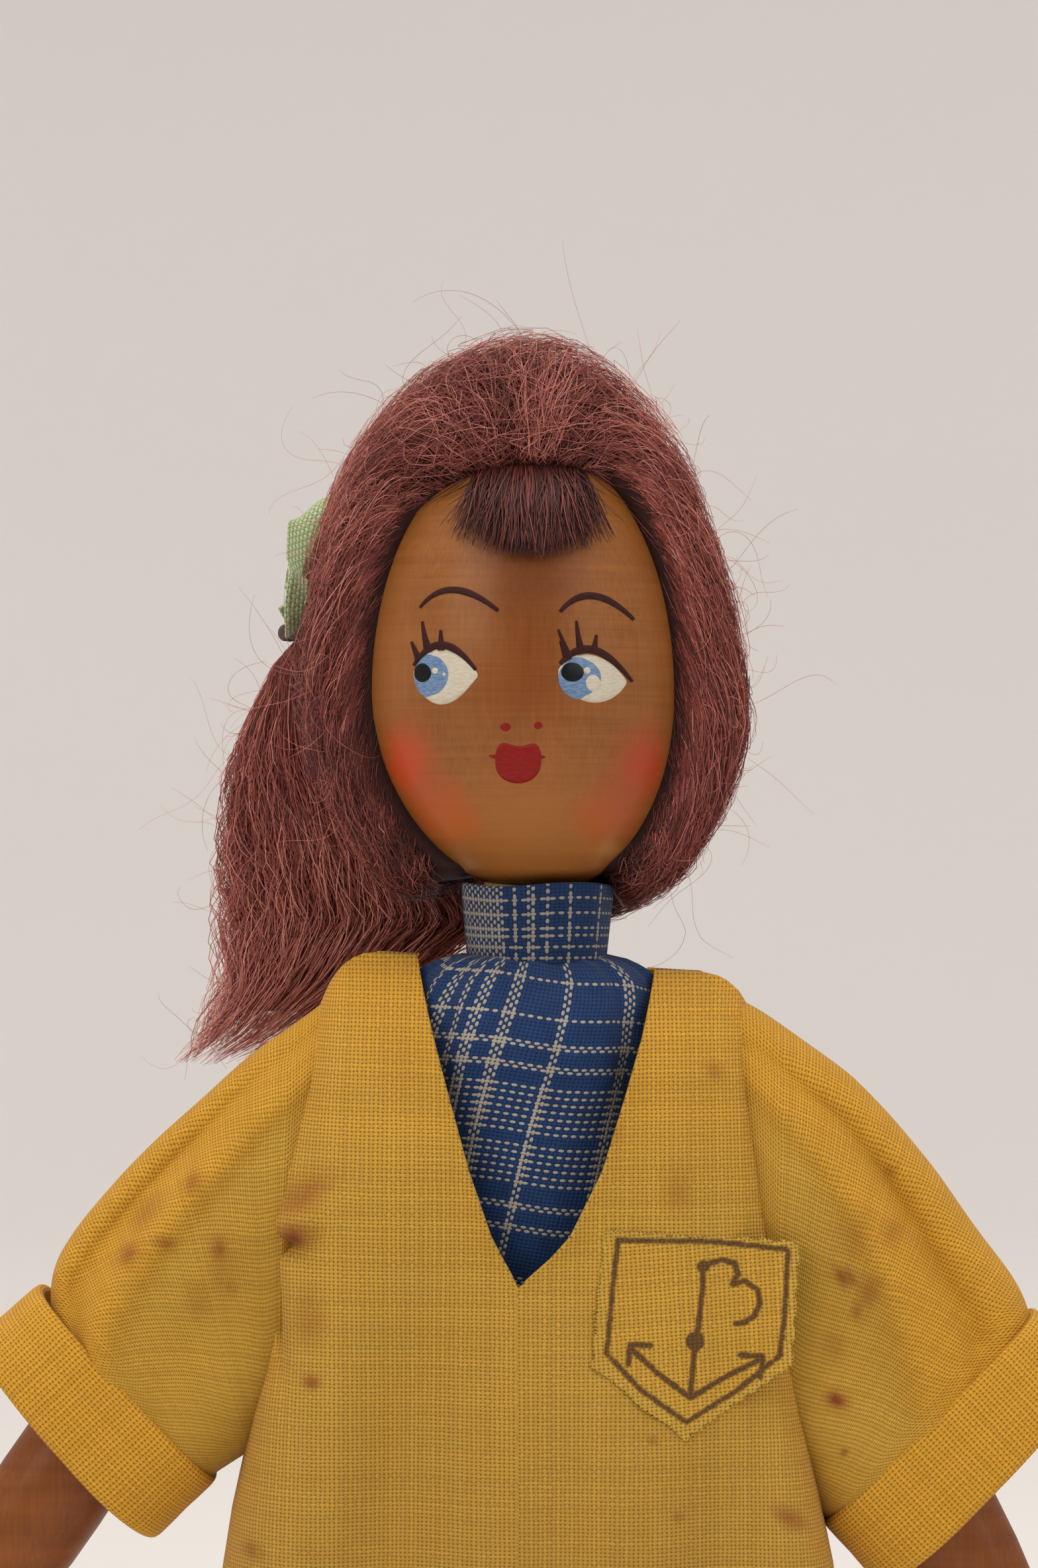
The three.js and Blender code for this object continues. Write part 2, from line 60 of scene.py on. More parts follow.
def to_frame(points):
    """Millimetres about the doll's axis, as metres in the shared frame."""
    return np.asarray(points, dtype=float) / 1000 + doll_axis


def linear(colour):
    """An sRGB hex colour as the linear red, green, blue and alpha that shaders take."""
    srgb = np.array([int(colour[i : i + 2], 16) for i in (1, 3, 5)]) / 255
    light = np.where(srgb <= 0.04045, srgb / 12.92, ((srgb + 0.055) / 1.055) ** 2.4)
    return (*light.tolist(), 1.0)


def add_node(material, kind, inputs=(), **settings):
    """Adds a shader node, sets its properties, and sets or links its inputs."""
    node = material.node_tree.nodes.new("ShaderNode" + kind)
    for key, value in settings.items():
        setattr(node, key, value)
    for key, value in dict(inputs).items():
        if isinstance(value, bpy.types.NodeSocket):
            material.node_tree.links.new(value, node.inputs[key])
        else:
            node.inputs[key].default_value = value
    return node


def new_material(name, **sockets):
    """A material of one Principled shader with the given sockets; spaces are written as _."""
    made = bpy.data.materials.new(name)
    made.use_nodes = True
    shader = made.node_tree.nodes["Principled BSDF"]
    for key, value in sockets.items():
        shader.inputs[key.replace("_", " ")].default_value = value
    return made, shader


def build(name, points, faces, material, uv=None):
    """A smooth mesh from (n, 3) millimetre points and arrays of face corners; uv is per corner."""
    mesh = bpy.data.meshes.new(name)
    mesh.vertices.add(len(points))
    mesh.vertices.foreach_set("co", to_frame(points).ravel())
    corners = np.concatenate([f.ravel() for f in faces])
    sizes = np.concatenate([np.full(len(f), f.shape[1]) for f in faces])
    mesh.loops.add(len(corners))
    mesh.loops.foreach_set("vertex_index", corners)
    mesh.polygons.add(len(sizes))
    mesh.polygons.foreach_set("loop_start", np.concatenate([[0], np.cumsum(sizes)[:-1]]))
    if uv is not None:
        mesh.uv_layers.new(name="cloth").data.foreach_set("uv", uv.ravel())
    mesh.update(calc_edges=True)
    mesh.shade_smooth()
    mesh.materials.append(material)
    piece = bpy.data.objects.new(name, mesh)
    bpy.context.scene.collection.objects.link(piece)
    return piece


def surface(name, grid, material, around=False, ends=False, uv=None, flip=False):
    """Quads over a (rows, columns, 3) grid of millimetre points. around joins the last column to
    the first; ends closes the first and last rows with a fan about their middle. uv has a row and
    column for every row and column of the grid, and one more column where it is joined."""
    rows, columns = grid.shape[:2]
    index = np.arange(rows * columns).reshape(rows, columns)
    if around:
        index = np.hstack([index, index[:, :1]])
    pick = lambda a: np.stack([a[:-1, :-1], a[:-1, 1:], a[1:, 1:], a[1:, :-1]], axis=2)
    quads = pick(index).reshape(-1, 4)
    corner_uv = None if uv is None else pick(uv).reshape(-1, 4, 2)
    points, faces = grid.reshape(-1, 3), [quads]
    if ends:
        points = np.vstack([points, grid[0].mean(0), grid[-1].mean(0)])
        first, last = index[0], index[-1]
        low = np.stack([np.full(len(first) - 1, rows * columns), first[1:], first[:-1]], 1)
        high = np.stack([np.full(len(last) - 1, rows * columns + 1), last[:-1], last[1:]], 1)
        faces.append(np.vstack([low, high]))
    if flip:
        faces = [f[:, ::-1] for f in faces]
        corner_uv = None if uv is None else corner_uv[:, ::-1]
    if uv is not None:
        corner_uv = corner_uv.reshape(-1, 2)
        spare = sum(f.size for f in faces[1:])
        corner_uv = np.vstack([corner_uv, np.zeros((spare, 2))])
    return build(name, points, faces, material, corner_uv)


def turn(profile, columns=96):
    """The grid of a body turned about Z: each (radius, height) of the profile swept round."""
    angle = np.linspace(0, 2 * np.pi, columns, endpoint=False)
    radius, height = np.asarray(profile, dtype=float).T[:, :, None]
    return np.stack([radius * np.sin(angle), -radius * np.cos(angle), height + 0 * angle], 2)


def fit(piece, body, slot, *nodes):
    """Puts a piece on a body, in place of the CAD nodes it stands for. The slot is not used."""
    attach(piece, body)
    if nodes:
        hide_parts(*nodes)


scene = bpy.context.scene
scene.view_settings.view_transform = "Standard"

camera = bpy.data.objects.new("camera", bpy.data.cameras.new("camera"))
camera.data.lens = camera.data.sensor_width * CAMERA_AWAY / VIEW_HEIGHT
camera.data.clip_start = 0.02
camera.data.clip_end = 20
camera.location = to_frame([-0.4, -CAMERA_AWAY, CAMERA_HEIGHT])
camera.rotation_euler = (90 * RADIANS, 0, 0)
scene.collection.objects.link(camera)
scene.camera = camera

# Matt seamless paper, pale and slightly warm; fine fibres leave it almost even.
paper, paper_shader = new_material("seamless_paper", Roughness=0.95)
mottle = add_node(paper, "TexNoise", {"Scale": 6.0, "Detail": 3.0})
tint = add_node(
    paper,
    "Mix",
    {0: mottle.outputs[0], 6: linear("#e6e2de"), 7: linear("#eeeae7")},
    data_type="RGBA",
)
paper.node_tree.links.new(tint.outputs[2], paper_shader.inputs["Base Color"])
rise = np.linspace(0, 90, 24) * RADIANS
sweep_profile = np.vstack(
    [
        [[1, 0], [900, 0]],
        np.stack([1500 + 900 * np.sin(rise), 900 - 900 * np.cos(rise)], 1),
        [[2400, 1200], [2400, 2000]],
    ]
)
studio = new_material("dim_studio_behind_camera", Base_Color=linear("#4a4642"), Roughness=0.9)[0]
sweep = surface("paper_sweep", turn(sweep_profile, 64), paper, around=True, flip=True)
sweep.data.materials.append(studio)
centres = np.empty(len(sweep.data.polygons) * 3)
sweep.data.polygons.foreach_get("center", centres)
behind = (centres.reshape(-1, 3)[:, 1] < -0.75).astype(np.int32)
sweep.data.polygons.foreach_set("material_index", behind)

for name, place, size, power in (
    ("soft_box_left", (-620, -640, 620), 0.62, 4.4),
    ("soft_box_right", (700, -560, 480), 0.62, 2.6),
    ("top_light", (0, -60, 1050), 0.7, 3.4),
):
    lamp = bpy.data.lights.new(name, "AREA")
    lamp.shape, lamp.size, lamp.energy = "SQUARE", size, power
    lamp.color = linear("#fff6ec")[:3]
    holder = bpy.data.objects.new(name, lamp)
    holder.location = to_frame(place)
    aim = np.array([0, 0, 150]) - np.array(place, dtype=float)
    holder.rotation_euler = (
        np.arctan2(np.hypot(aim[0], aim[1]), -aim[2]),
        0,
        np.arctan2(aim[1], aim[0]) - 90 * RADIANS,
    )
    scene.collection.objects.link(holder)
world = bpy.data.worlds.new("studio")
world.use_nodes = True
world.node_tree.nodes["Background"].inputs["Color"].default_value = linear("#f6f3f1")
world.node_tree.nodes["Background"].inputs["Strength"].default_value = 1.12
scene.world = world

# ---------------------------------------------------------------- turned torso, neck dowel and pins
# Pale unfinished hardwood with a dowel through the neck and wire pins at the shoulders and hips.
# The clothes hide nearly all of it.


def grained_wood(name, pale, brown, tilt=0.0, ring_pitch=0.55, roughness=0.55, coat=0.0):
    """Turned hardwood: grain streaks 0.3 mm wide and 12 mm long run along the piece, which leans
    by tilt from upright, and cutter marks ring it at the given pitch in millimetres."""
    made, shader = new_material(name, Roughness=roughness, Coat_Weight=coat, Coat_Roughness=0.22)
    shader.inputs["Specular IOR Level"].default_value = 0.22
    place = add_node(made, "TexCoord").outputs["Object"]
    turned = add_node(made, "Mapping", {0: place, "Rotation": (0, tilt, 0), "Scale": (3300, 3300, 80)})
    streaks = add_node(made, "TexNoise", {0: turned.outputs[0], "Scale": 1.0, "Detail": 3.0})
    rings = add_node(
        made, "Mapping", {0: place, "Rotation": (0, tilt, 0), "Scale": (60, 60, 1000 / ring_pitch)}
    )
    marks = add_node(made, "TexNoise", {0: rings.outputs[0], "Scale": 1.0, "Detail": 2.0})
    patches = add_node(made, "TexNoise", {0: place, "Scale": 90.0, "Detail": 3.0})
    both = add_node(made, "Math", {0: streaks.outputs[0], 1: marks.outputs[0]}, operation="ADD")
    wide = add_node(made, "Math", {0: both.outputs[0], 1: patches.outputs[0]}, operation="ADD")
    share = add_node(made, "MapRange", {0: wide.outputs[0], 1: 0.95, 2: 2.05})
    tint = add_node(made, "Mix", {0: share.outputs[0], 6: linear(brown), 7: linear(pale)}, data_type="RGBA")
    relief = add_node(made, "Bump", {"Height": both.outputs[0], "Strength": 0.25, "Distance": 0.00004})
    made.node_tree.links.new(tint.outputs[2], shader.inputs["Base Color"])
    made.node_tree.links.new(relief.outputs[0], shader.inputs["Normal"])
    return made, shader, tint


bare_wood = grained_wood("turned_beech_unfinished", "#d8b78a", "#b98f5e")[0]
pin_wire, wire_shader = new_material("drawn_steel_wire", Metallic=1.0, Roughness=0.34)
wire_place = add_node(pin_wire, "TexCoord").outputs["Object"]
wire_lines = add_node(pin_wire, "Mapping", {0: wire_place, "Scale": (200, 9000, 9000)})
wire_noise = add_node(pin_wire, "TexNoise", {0: wire_lines.outputs[0], "Scale": 1.0})
wire_tint = add_node(
    pin_wire,
    "Mix",
    {0: wire_noise.outputs[0], 6: linear("#8f8d88"), 7: linear("#b9b7b1")},
    data_type="RGBA",
)
pin_wire.node_tree.links.new(wire_tint.outputs[2], wire_shader.inputs["Base Color"])
for node in ("torso", "neck_dowel"):
    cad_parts[node].material_slots[0].material = bare_wood
for node in ("hip_pin", "left_shoulder_pin", "right_shoulder_pin"):
    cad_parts[node].material_slots[0].material = pin_wire

# ---------------------------------------------------------------- head
# An egg of pale hardwood, turned, stained honey brown under a thin lacquer, with a blush of
# orange and rose rubbed on each cheek. Fine cutter marks ring it.
head_low, head_high = (np.array(c) - doll_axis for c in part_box("head"))
HEAD_RADIUS = (head_high[0] - head_low[0]) * 500
HEAD_BASE, HEAD_TOP = head_low[2] * 1000, head_high[2] * 1000
HEAD_WAIST = HEAD_BASE + 0.425 * (HEAD_TOP - HEAD_BASE)
JAW_LEAN = 1.3  # the chin sits a little to the doll's left


def head_radius(z):
    """Half an ellipse above the waist and a rounder one below it."""
    tall = np.where(z > HEAD_WAIST, HEAD_TOP - HEAD_WAIST, (HEAD_WAIST - HEAD_BASE) * 1.055)
    return HEAD_RADIUS * np.sqrt(np.clip(1 - ((z - HEAD_WAIST) / tall) ** 2, 0, 1))


def head_middle(z):
    """Where the head's axis passes at each height: straight above the waist, leaning below."""
    drop = np.clip((HEAD_WAIST - z) / (HEAD_WAIST - HEAD_BASE), 0, 1)
    return JAW_LEAN * drop**1.6


def head_front(x, z, lift=0.0):
    """Depth of the face under a point, or lift millimetres in front of it."""
    r = head_radius(z) + lift
    return -np.sqrt(np.clip(r**2 - (x - head_middle(z)) ** 2, 0.01, None))


rise = np.linspace(-np.arcsin(1 / 1.055), np.pi / 2, 110)
head_z = HEAD_WAIST + np.where(
    rise < 0, (HEAD_WAIST - HEAD_BASE) * 1.055, HEAD_TOP - HEAD_WAIST
) * np.sin(rise)
head_grid = turn(np.stack([np.maximum(head_radius(head_z), 0.02), head_z], 1), 128)
head_grid[:, :, 0] += head_middle(head_grid[:, :, 2])

lacquered, lacquer_shader, honey = grained_wood(
    "lacquered_turned_wood", "#965e2c", "#774417", ring_pitch=0.4, roughness=0.5, coat=0.1
)
place = add_node(lacquered, "TexCoord").outputs["Object"]
uneven = add_node(lacquered, "TexNoise", {0: place, "Scale": 260.0, "Detail": 4.0})
colour_now = honey.outputs[2]
# Each blot: its middle and radii across and up, its colour, and how strong it is. Most are stain and blush;
# two pale ones are painted highlights.
FACE_BLOTS_AND_HIGHLIGHTS = (
    (0.6, 176.5, 6.5, 9.0, "#5d2608", 0.62),
    (0.2, 166.0, 5.5, 7.5, "#6b2f0c", 0.42),
    # Painted sheen: a pale band down the doll's right side of the face.
    (-14.6, 168.0, 5.0, 17.0, "#986031", 0.5),
    (0.6, 151.0, 11.0, 8.0, "#a3682c", 0.6),
    (-12.2, 157.6, 4.2, 5.6, "#b14216", 0.85),
    (-8.8, 152.8, 4.6, 4.6, "#b04a17", 0.75),
    (-12.4, 157.4, 2.6, 3.4, "#b83a1b", 0.6),
    (12.4, 157.2, 4.2, 5.8, "#a33c18", 0.8),
    (9.6, 152.8, 4.4, 4.6, "#a2401a", 0.6),
    (12.8, 157.4, 2.8, 3.6, "#a9321e", 0.5),
    (-6.6, 151.6, 3.6, 2.6, "#a65313", 0.7),
    (7.0, 152.0, 3.4, 3.0, "#a45114", 0.6),
    # Painted highlight: a small pale spot low on the chin, at the doll's left.
    (8.8, 148.9, 1.7, 1.7, "#a68050", 0.55),
)
for x, z, across, up, paint, strength in FACE_BLOTS_AND_HIGHLIGHTS:
    centre = to_frame([x, -HEAD_RADIUS * 0.8, z])
    near = add_node(
        lacquered,
        "Mapping",
        {0: place, "Location": centre, "Scale": (across / 1000, 0.012, up / 1000)},
        vector_type="TEXTURE",
    )
    far = add_node(lacquered, "VectorMath", {0: near.outputs[0]}, operation="LENGTH")
    ragged = add_node(
        lacquered,
        "Math",
        {0: uneven.outputs[0], 1: 0.35, 2: far.outputs["Value"]},
        operation="MULTIPLY_ADD",
    )
    mask = add_node(
        lacquered,
        "MapRange",
        {0: ragged.outputs[0], 1: 0.35, 2: 1.35, 3: strength, 4: 0.0},
        interpolation_type="SMOOTHSTEP",
    )
    blot = add_node(
        lacquered,
        "Mix",
        {0: mask.outputs[0], 6: colour_now, 7: linear(paint)},
        data_type="RGBA",
    )
    colour_now = blot.outputs[2]
lacquered.node_tree.links.new(colour_now, lacquer_shader.inputs["Base Color"])

head = surface("turned_head", head_grid, lacquered, around=True, ends=True)
fit(head, "head", "lacquered_wood", "head")

# ---------------------------------------------------------------- painted face
# Eyes, brows, lashes, nostrils and lips in oil paint, laid on with a fine brush. Each stroke is a
# skin a few hundredths of a millimetre thick that follows the egg.


def stroke_sides(path, widths):
    """The two sides of a brush stroke: a smooth path through points, offset by half its width."""
    path, widths = np.asarray(path, dtype=float), np.asarray(widths, dtype=float)
    t = np.linspace(0, 1, 40)
    if len(path) == 3:  # a quadratic curve through all three points
        middle = 2 * path[1] - (path[0] + path[2]) / 2
        line = (
            np.outer((1 - t) ** 2, path[0]) + np.outer(2 * t * (1 - t), middle) + np.outer(t**2, path[2])
        )
    else:
        line = np.outer(1 - t, path[0]) + np.outer(t, path[-1])
    along = np.gradient(line, axis=0)
    along /= np.linalg.norm(along, axis=1, keepdims=True)
    out = np.stack([-along[:, 1], along[:, 0]], 1)
    half = np.interp(t, np.linspace(0, 1, len(widths)), widths)[:, None] / 2
    return line + out * half, line - out * half


def oval_sides(x, z, across, up, low=None):
    """The upper and lower edge of an oval; low is its half height downwards, if that differs."""
    u = -np.cos(np.linspace(0, np.pi, 36))
    bow = np.sqrt(1 - u**2)
    upper = np.stack([x + across * u, z + up * bow], 1)
    lower = np.stack([x + across * u, z - (up if low is None else low) * bow], 1)
    return upper, lower


def paint_skin(upper, lower, lift):
    """A closed skin between two edges, domed by lift over the wood and rooted just inside it."""
    t = np.linspace(0, 1, 9)
    flat = upper[:, None] * (1 - t[:, None]) + lower[:, None] * t[:, None]
    dome = lift * np.sin(np.pi * t) ** 0.35
    x, z = flat[..., 0], flat[..., 1]
    skin = np.stack([x, head_front(x, z, dome), z], 2)
    root = np.stack([x, head_front(x, z, -0.05), z], 2)
    return np.concatenate([skin, root[:, ::-1]], 1)


def oil_paint(name, colour, second, roughness=0.38):
    """Brushed oil paint: two close tones streaked along the brush, 0.15 mm apart."""
    made, shader = new_material(name, Roughness=roughness, Specular_IOR_Level=0.2)
    place = add_node(made, "TexCoord").outputs["Object"]
    drawn = add_node(made, "Mapping", {0: place, "Scale": (1500, 1500, 6500)})
    hairs = add_node(made, "TexNoise", {0: drawn.outputs[0], "Scale": 1.0, "Detail": 2.0})
    share = add_node(made, "MapRange", {0: hairs.outputs[0], 1: 0.35, 2: 0.65})
    tint = add_node(
        made,
        "Mix",
        {0: share.outputs[0], 6: linear(colour), 7: linear(second)},
        data_type="RGBA",
    )
    relief = add_node(made, "Bump", {"Height": hairs.outputs[0], "Strength": 0.3, "Distance": 0.00003})
    made.node_tree.links.new(tint.outputs[2], shader.inputs["Base Color"])
    made.node_tree.links.new(relief.outputs[0], shader.inputs["Normal"])
    return made


def painted(name, material, *skins):
    """One piece of all the strokes laid on in one colour."""
    points, faces, start = [], [], 0
    for skin in skins:
        rows, columns = skin.shape[:2]
        index = np.arange(rows * columns).reshape(rows, columns) + start
        index = np.hstack([index, index[:, :1]])
        quads = np.stack([index[:-1, :-1], index[1:, :-1], index[1:, 1:], index[:-1, 1:]], 2)
        half = columns // 2
        pairs = index[:, :columns]
        for row, turned in ((0, False), (rows - 1, True)):
            top, under = pairs[row, :half], pairs[row, half:][::-1]
            cap = np.stack([top[:-1], top[1:], under[1:], under[:-1]], 1)
            faces.append(cap[:, ::-1] if turned else cap)
        faces.append(quads.reshape(-1, 4))
        points.append(skin.reshape(-1, 3))
        start += rows * columns
    piece = build(name, np.vstack(points), faces, material)
    fit(piece, "head", "lacquered_wood")
    return piece


white_paint = oil_paint("white_oil_paint", "#bbb3a1", "#c9c3b3")
blue_paint = oil_paint("pale_blue_oil_paint", "#567399", "#7490b2")
black_paint = oil_paint("black_oil_paint", "#0b0d11", "#12141a", 0.3)
brown_paint = oil_paint("dark_brown_oil_paint", "#260807", "#380f0c", 0.6)
red_paint = oil_paint("red_oil_paint", "#78100b", "#88150e", 0.5)

eye_t = np.linspace(0, 1, 40)[:, None]


def eye_edge(points):
    """A smooth edge through five points, by Lagrange's polynomial in the share of the way."""
    points = np.asarray(points, dtype=float)
    knots = np.linspace(0, 1, len(points))
    edge = np.zeros((40, 2))
    for i, knot in enumerate(knots):
        others = np.delete(knots, i)
        edge += np.prod((eye_t - others) / (knot - others), axis=1)[:, None] * points[i]
    return edge


painted(
    "painted_eye_whites",
    white_paint,
    paint_skin(
        eye_edge([(-10.9, 166.9), (-9.6, 168.8), (-7.9, 169.1), (-6.0, 168.3), (-4.5, 166.6)]),
        eye_edge([(-10.9, 166.4), (-9.9, 164.5), (-8.0, 163.6), (-6.0, 164.6), (-4.5, 166.3)]),
        0.05,
    ),
    paint_skin(
        eye_edge([(3.5, 167.0), (4.9, 168.3), (6.8, 168.5), (8.7, 167.7), (10.3, 166.0)]),
        eye_edge([(3.5, 166.4), (4.7, 164.7), (6.7, 163.8), (8.8, 164.2), (10.3, 165.7)]),
        0.05,
    ),
)
painted(
    "painted_irises",
    blue_paint,
    paint_skin(*oval_sides(-9.15, 166.55, 1.72, 2.25, 2.35), 0.09),
    paint_skin(*oval_sides(5.62, 166.3, 2.12, 2.1, 2.2), 0.09),
)
painted(
    "painted_pupils",
    black_paint,
    paint_skin(*oval_sides(-10.0, 166.75, 0.86, 1.2), 0.13),
    paint_skin(*oval_sides(4.9, 166.75, 1.12, 1.2), 0.13),
)
painted(
    "painted_glints",
    white_paint,
    paint_skin(*oval_sides(-8.75, 166.95, 0.3, 0.36), 0.17),
    paint_skin(*oval_sides(-7.85, 166.6, 0.17, 0.22), 0.15),
    paint_skin(*oval_sides(6.35, 166.95, 0.34, 0.4), 0.17),
    paint_skin(*oval_sides(6.95, 165.75, 0.72, 1.0), 0.14),
)
painted(
    "painted_brows_and_lashes",
    brown_paint,
    *(
        paint_skin(*stroke_sides(path, np.multiply(widths, 1.8)), 0.12)
        for path, widths in (
            ([(-10.3, 173.3), (-6.9, 175.0), (-2.5, 172.9)], [0.16, 0.34, 0.4, 0.22]),
            ([(3.7, 172.8), (7.0, 174.4), (11.1, 172.1)], [0.2, 0.4, 0.4, 0.2]),
            ([(-10.9, 167.5), (-8.0, 169.5), (-4.7, 167.0)], [0.2, 0.42, 0.42, 0.2]),
            ([(3.7, 167.6), (7.0, 169.0), (10.9, 165.9)], [0.25, 0.45, 0.42, 0.18]),
            ([(-11.15, 169.9), (-10.4, 168.1)], [0.14, 0.42]),
            ([(-10.05, 171.9), (-9.8, 170.4), (-9.4, 168.8)], [0.14, 0.3, 0.5]),
            ([(-8.2, 171.0), (-8.15, 169.0)], [0.14, 0.44]),
            ([(3.7, 169.9), (4.45, 168.0)], [0.14, 0.5]),
            ([(3.5, 171.0), (4.6, 168.2)], [0.12, 0.36]),
            ([(5.3, 171.9), (5.5, 170.2), (5.8, 168.6)], [0.14, 0.3, 0.5]),
            ([(7.3, 170.5), (7.0, 168.7)], [0.14, 0.44]),
        )
    ),
)
painted(
    "painted_lips_and_nostrils",
    red_paint,
    paint_skin(*oval_sides(-1.75, 161.35, 0.5, 0.42), 0.1),
    paint_skin(*oval_sides(1.5, 161.5, 0.4, 0.36), 0.1),
    paint_skin(
        eye_edge([(-2.75, 158.6), (-1.7, 159.75), (-0.4, 159.45), (0.85, 159.7), (1.8, 158.6)]),
        eye_edge([(-2.75, 158.0), (-2.1, 156.3), (-0.5, 155.75), (1.1, 156.3), (1.8, 158.0)]),
        0.12,
    ),
    paint_skin(*stroke_sides([(-3.4, 158.5), (-2.2, 158.3)], [0.12, 0.7]), 0.08),
    paint_skin(*stroke_sides([(2.2, 158.4), (1.2, 158.3)], [0.12, 0.7]), 0.08),
)

# ---------------------------------------------------------------- arms
# One turned stick each, swelling towards a mitten hand with a sawn notch beside the thumb. They
# are lacquered like the head, over grain that runs down the stick.
pin_low, pin_high = (np.array(c) - doll_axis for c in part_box("left_shoulder_pin"))
SHOULDER_HEIGHT = (pin_low[2] + pin_high[2]) * 500
SPREAD = {"left": 27.5, "right": 34.0}  # degrees from hanging straight down
SIDES = {"left": 1, "right": -1}
arm_wood = {}
for side, sign in SIDES.items():
    shoulder_x = 18.75 * sign
    # Radius across and in depth at each distance down the stick.
    reach = np.array([-4.8, -4.7, -4.2, -3.2, -1.5, 0, 6, 14, 24, 34, 44, 52, 57, 62, 66, 69, 71, 72])
    wide = np.array(
        [0.02, 1.0, 2.4, 3.6, 4.55, 4.8, 4.85, 4.9, 5.0, 5.3, 5.75, 5.9, 5.8, 5.4, 4.7, 3.6, 2, 0.02]
    )
    deep = np.array(
        [0.02, 1.0, 2.4, 3.6, 4.55, 4.8, 4.85, 4.9, 5.0, 5.2, 5.4, 5.2, 4.8, 4.2, 3.6, 2.8, 1.6, 0.02]
    )
    steps = np.concatenate([np.linspace(-4.8, 0, 16), np.linspace(0.6, 66, 80), np.linspace(66.5, 72, 18)])
    smooth = lambda values: np.interp(steps, reach, values)
    angle = np.linspace(0, 2 * np.pi, 56, endpoint=False)
    across = smooth(wide)[:, None] * np.cos(angle)
    fore = -smooth(deep)[:, None] * np.sin(angle)
    # The thumb's notch bites a V into the front edge of the mitten, on the side of the body.
    bite = np.exp(-(((across * -1 - 2.6) / 0.7) ** 2)) * np.clip((steps[:, None] - 59) / 6, 0, 1)
    fore = fore * (1 - 0.55 * bite)
    tilt = SPREAD[side] * RADIANS
    down = np.broadcast_to(steps[:, None], across.shape)
    grid = np.stack(
        [
            shoulder_x + sign * (across * np.cos(tilt) + down * np.sin(tilt)),
            fore,
            SHOULDER_HEIGHT + across * np.sin(tilt) - down * np.cos(tilt),
        ],
        2,
    )
    arm_wood[side] = grained_wood(
        f"lacquered_{side}_arm_wood", "#8c501e", "#69340f", tilt=sign * tilt, ring_pitch=1.4, coat=0.15
    )[0]
    arm = surface(f"{side}_arm_turned", grid, arm_wood[side], around=True, ends=True, flip=sign > 0)
    fit(arm, f"{side}_arm", "lacquered_wood", f"{side}_arm")

# ---------------------------------------------------------------- legs and shoes
# Turned stick legs let into carved clog-like shoes, which are painted gloss brown over a paler
# sole. The trousers hide the legs down to the ankle.
pin_low, pin_high = (np.array(c) - doll_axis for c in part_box("hip_pin"))
HIP_HEIGHT = (pin_low[2] + pin_high[2]) * 500
shoe_paint, shoe_shader = new_material("gloss_brown_enamel", Roughness=0.22, Coat_Weight=0.4)
place = add_node(shoe_paint, "TexCoord").outputs["Object"]
height = add_node(shoe_paint, "SeparateXYZ", {0: place})
brushed = add_node(shoe_paint, "TexNoise", {0: place, "Scale": 420.0, "Detail": 4.0})
edge = add_node(
    shoe_paint,
    "Math",
    {0: brushed.outputs[0], 1: 0.0012, 2: height.outputs[2]},
    operation="MULTIPLY_ADD",
)
above = add_node(shoe_paint, "MapRange", {0: edge.outputs[0], 1: 0.0021, 2: 0.0024})
deep_brown = add_node(
    shoe_paint,
    "Mix",
    {0: brushed.outputs[0], 6: linear("#2a1710"), 7: linear("#4a2c1e")},
    data_type="RGBA",
)
shoe_tint = add_node(
    shoe_paint,
    "Mix",
    {0: above.outputs[0], 6: linear("#a47a4c"), 7: deep_brown.outputs[2]},
    data_type="RGBA",
)
shoe_paint.node_tree.links.new(shoe_tint.outputs[2], shoe_shader.inputs["Base Color"])
leg_wood = grained_wood("lacquered_leg_wood", "#8c501e", "#69320d", ring_pitch=1.4, coat=0.15)[0]
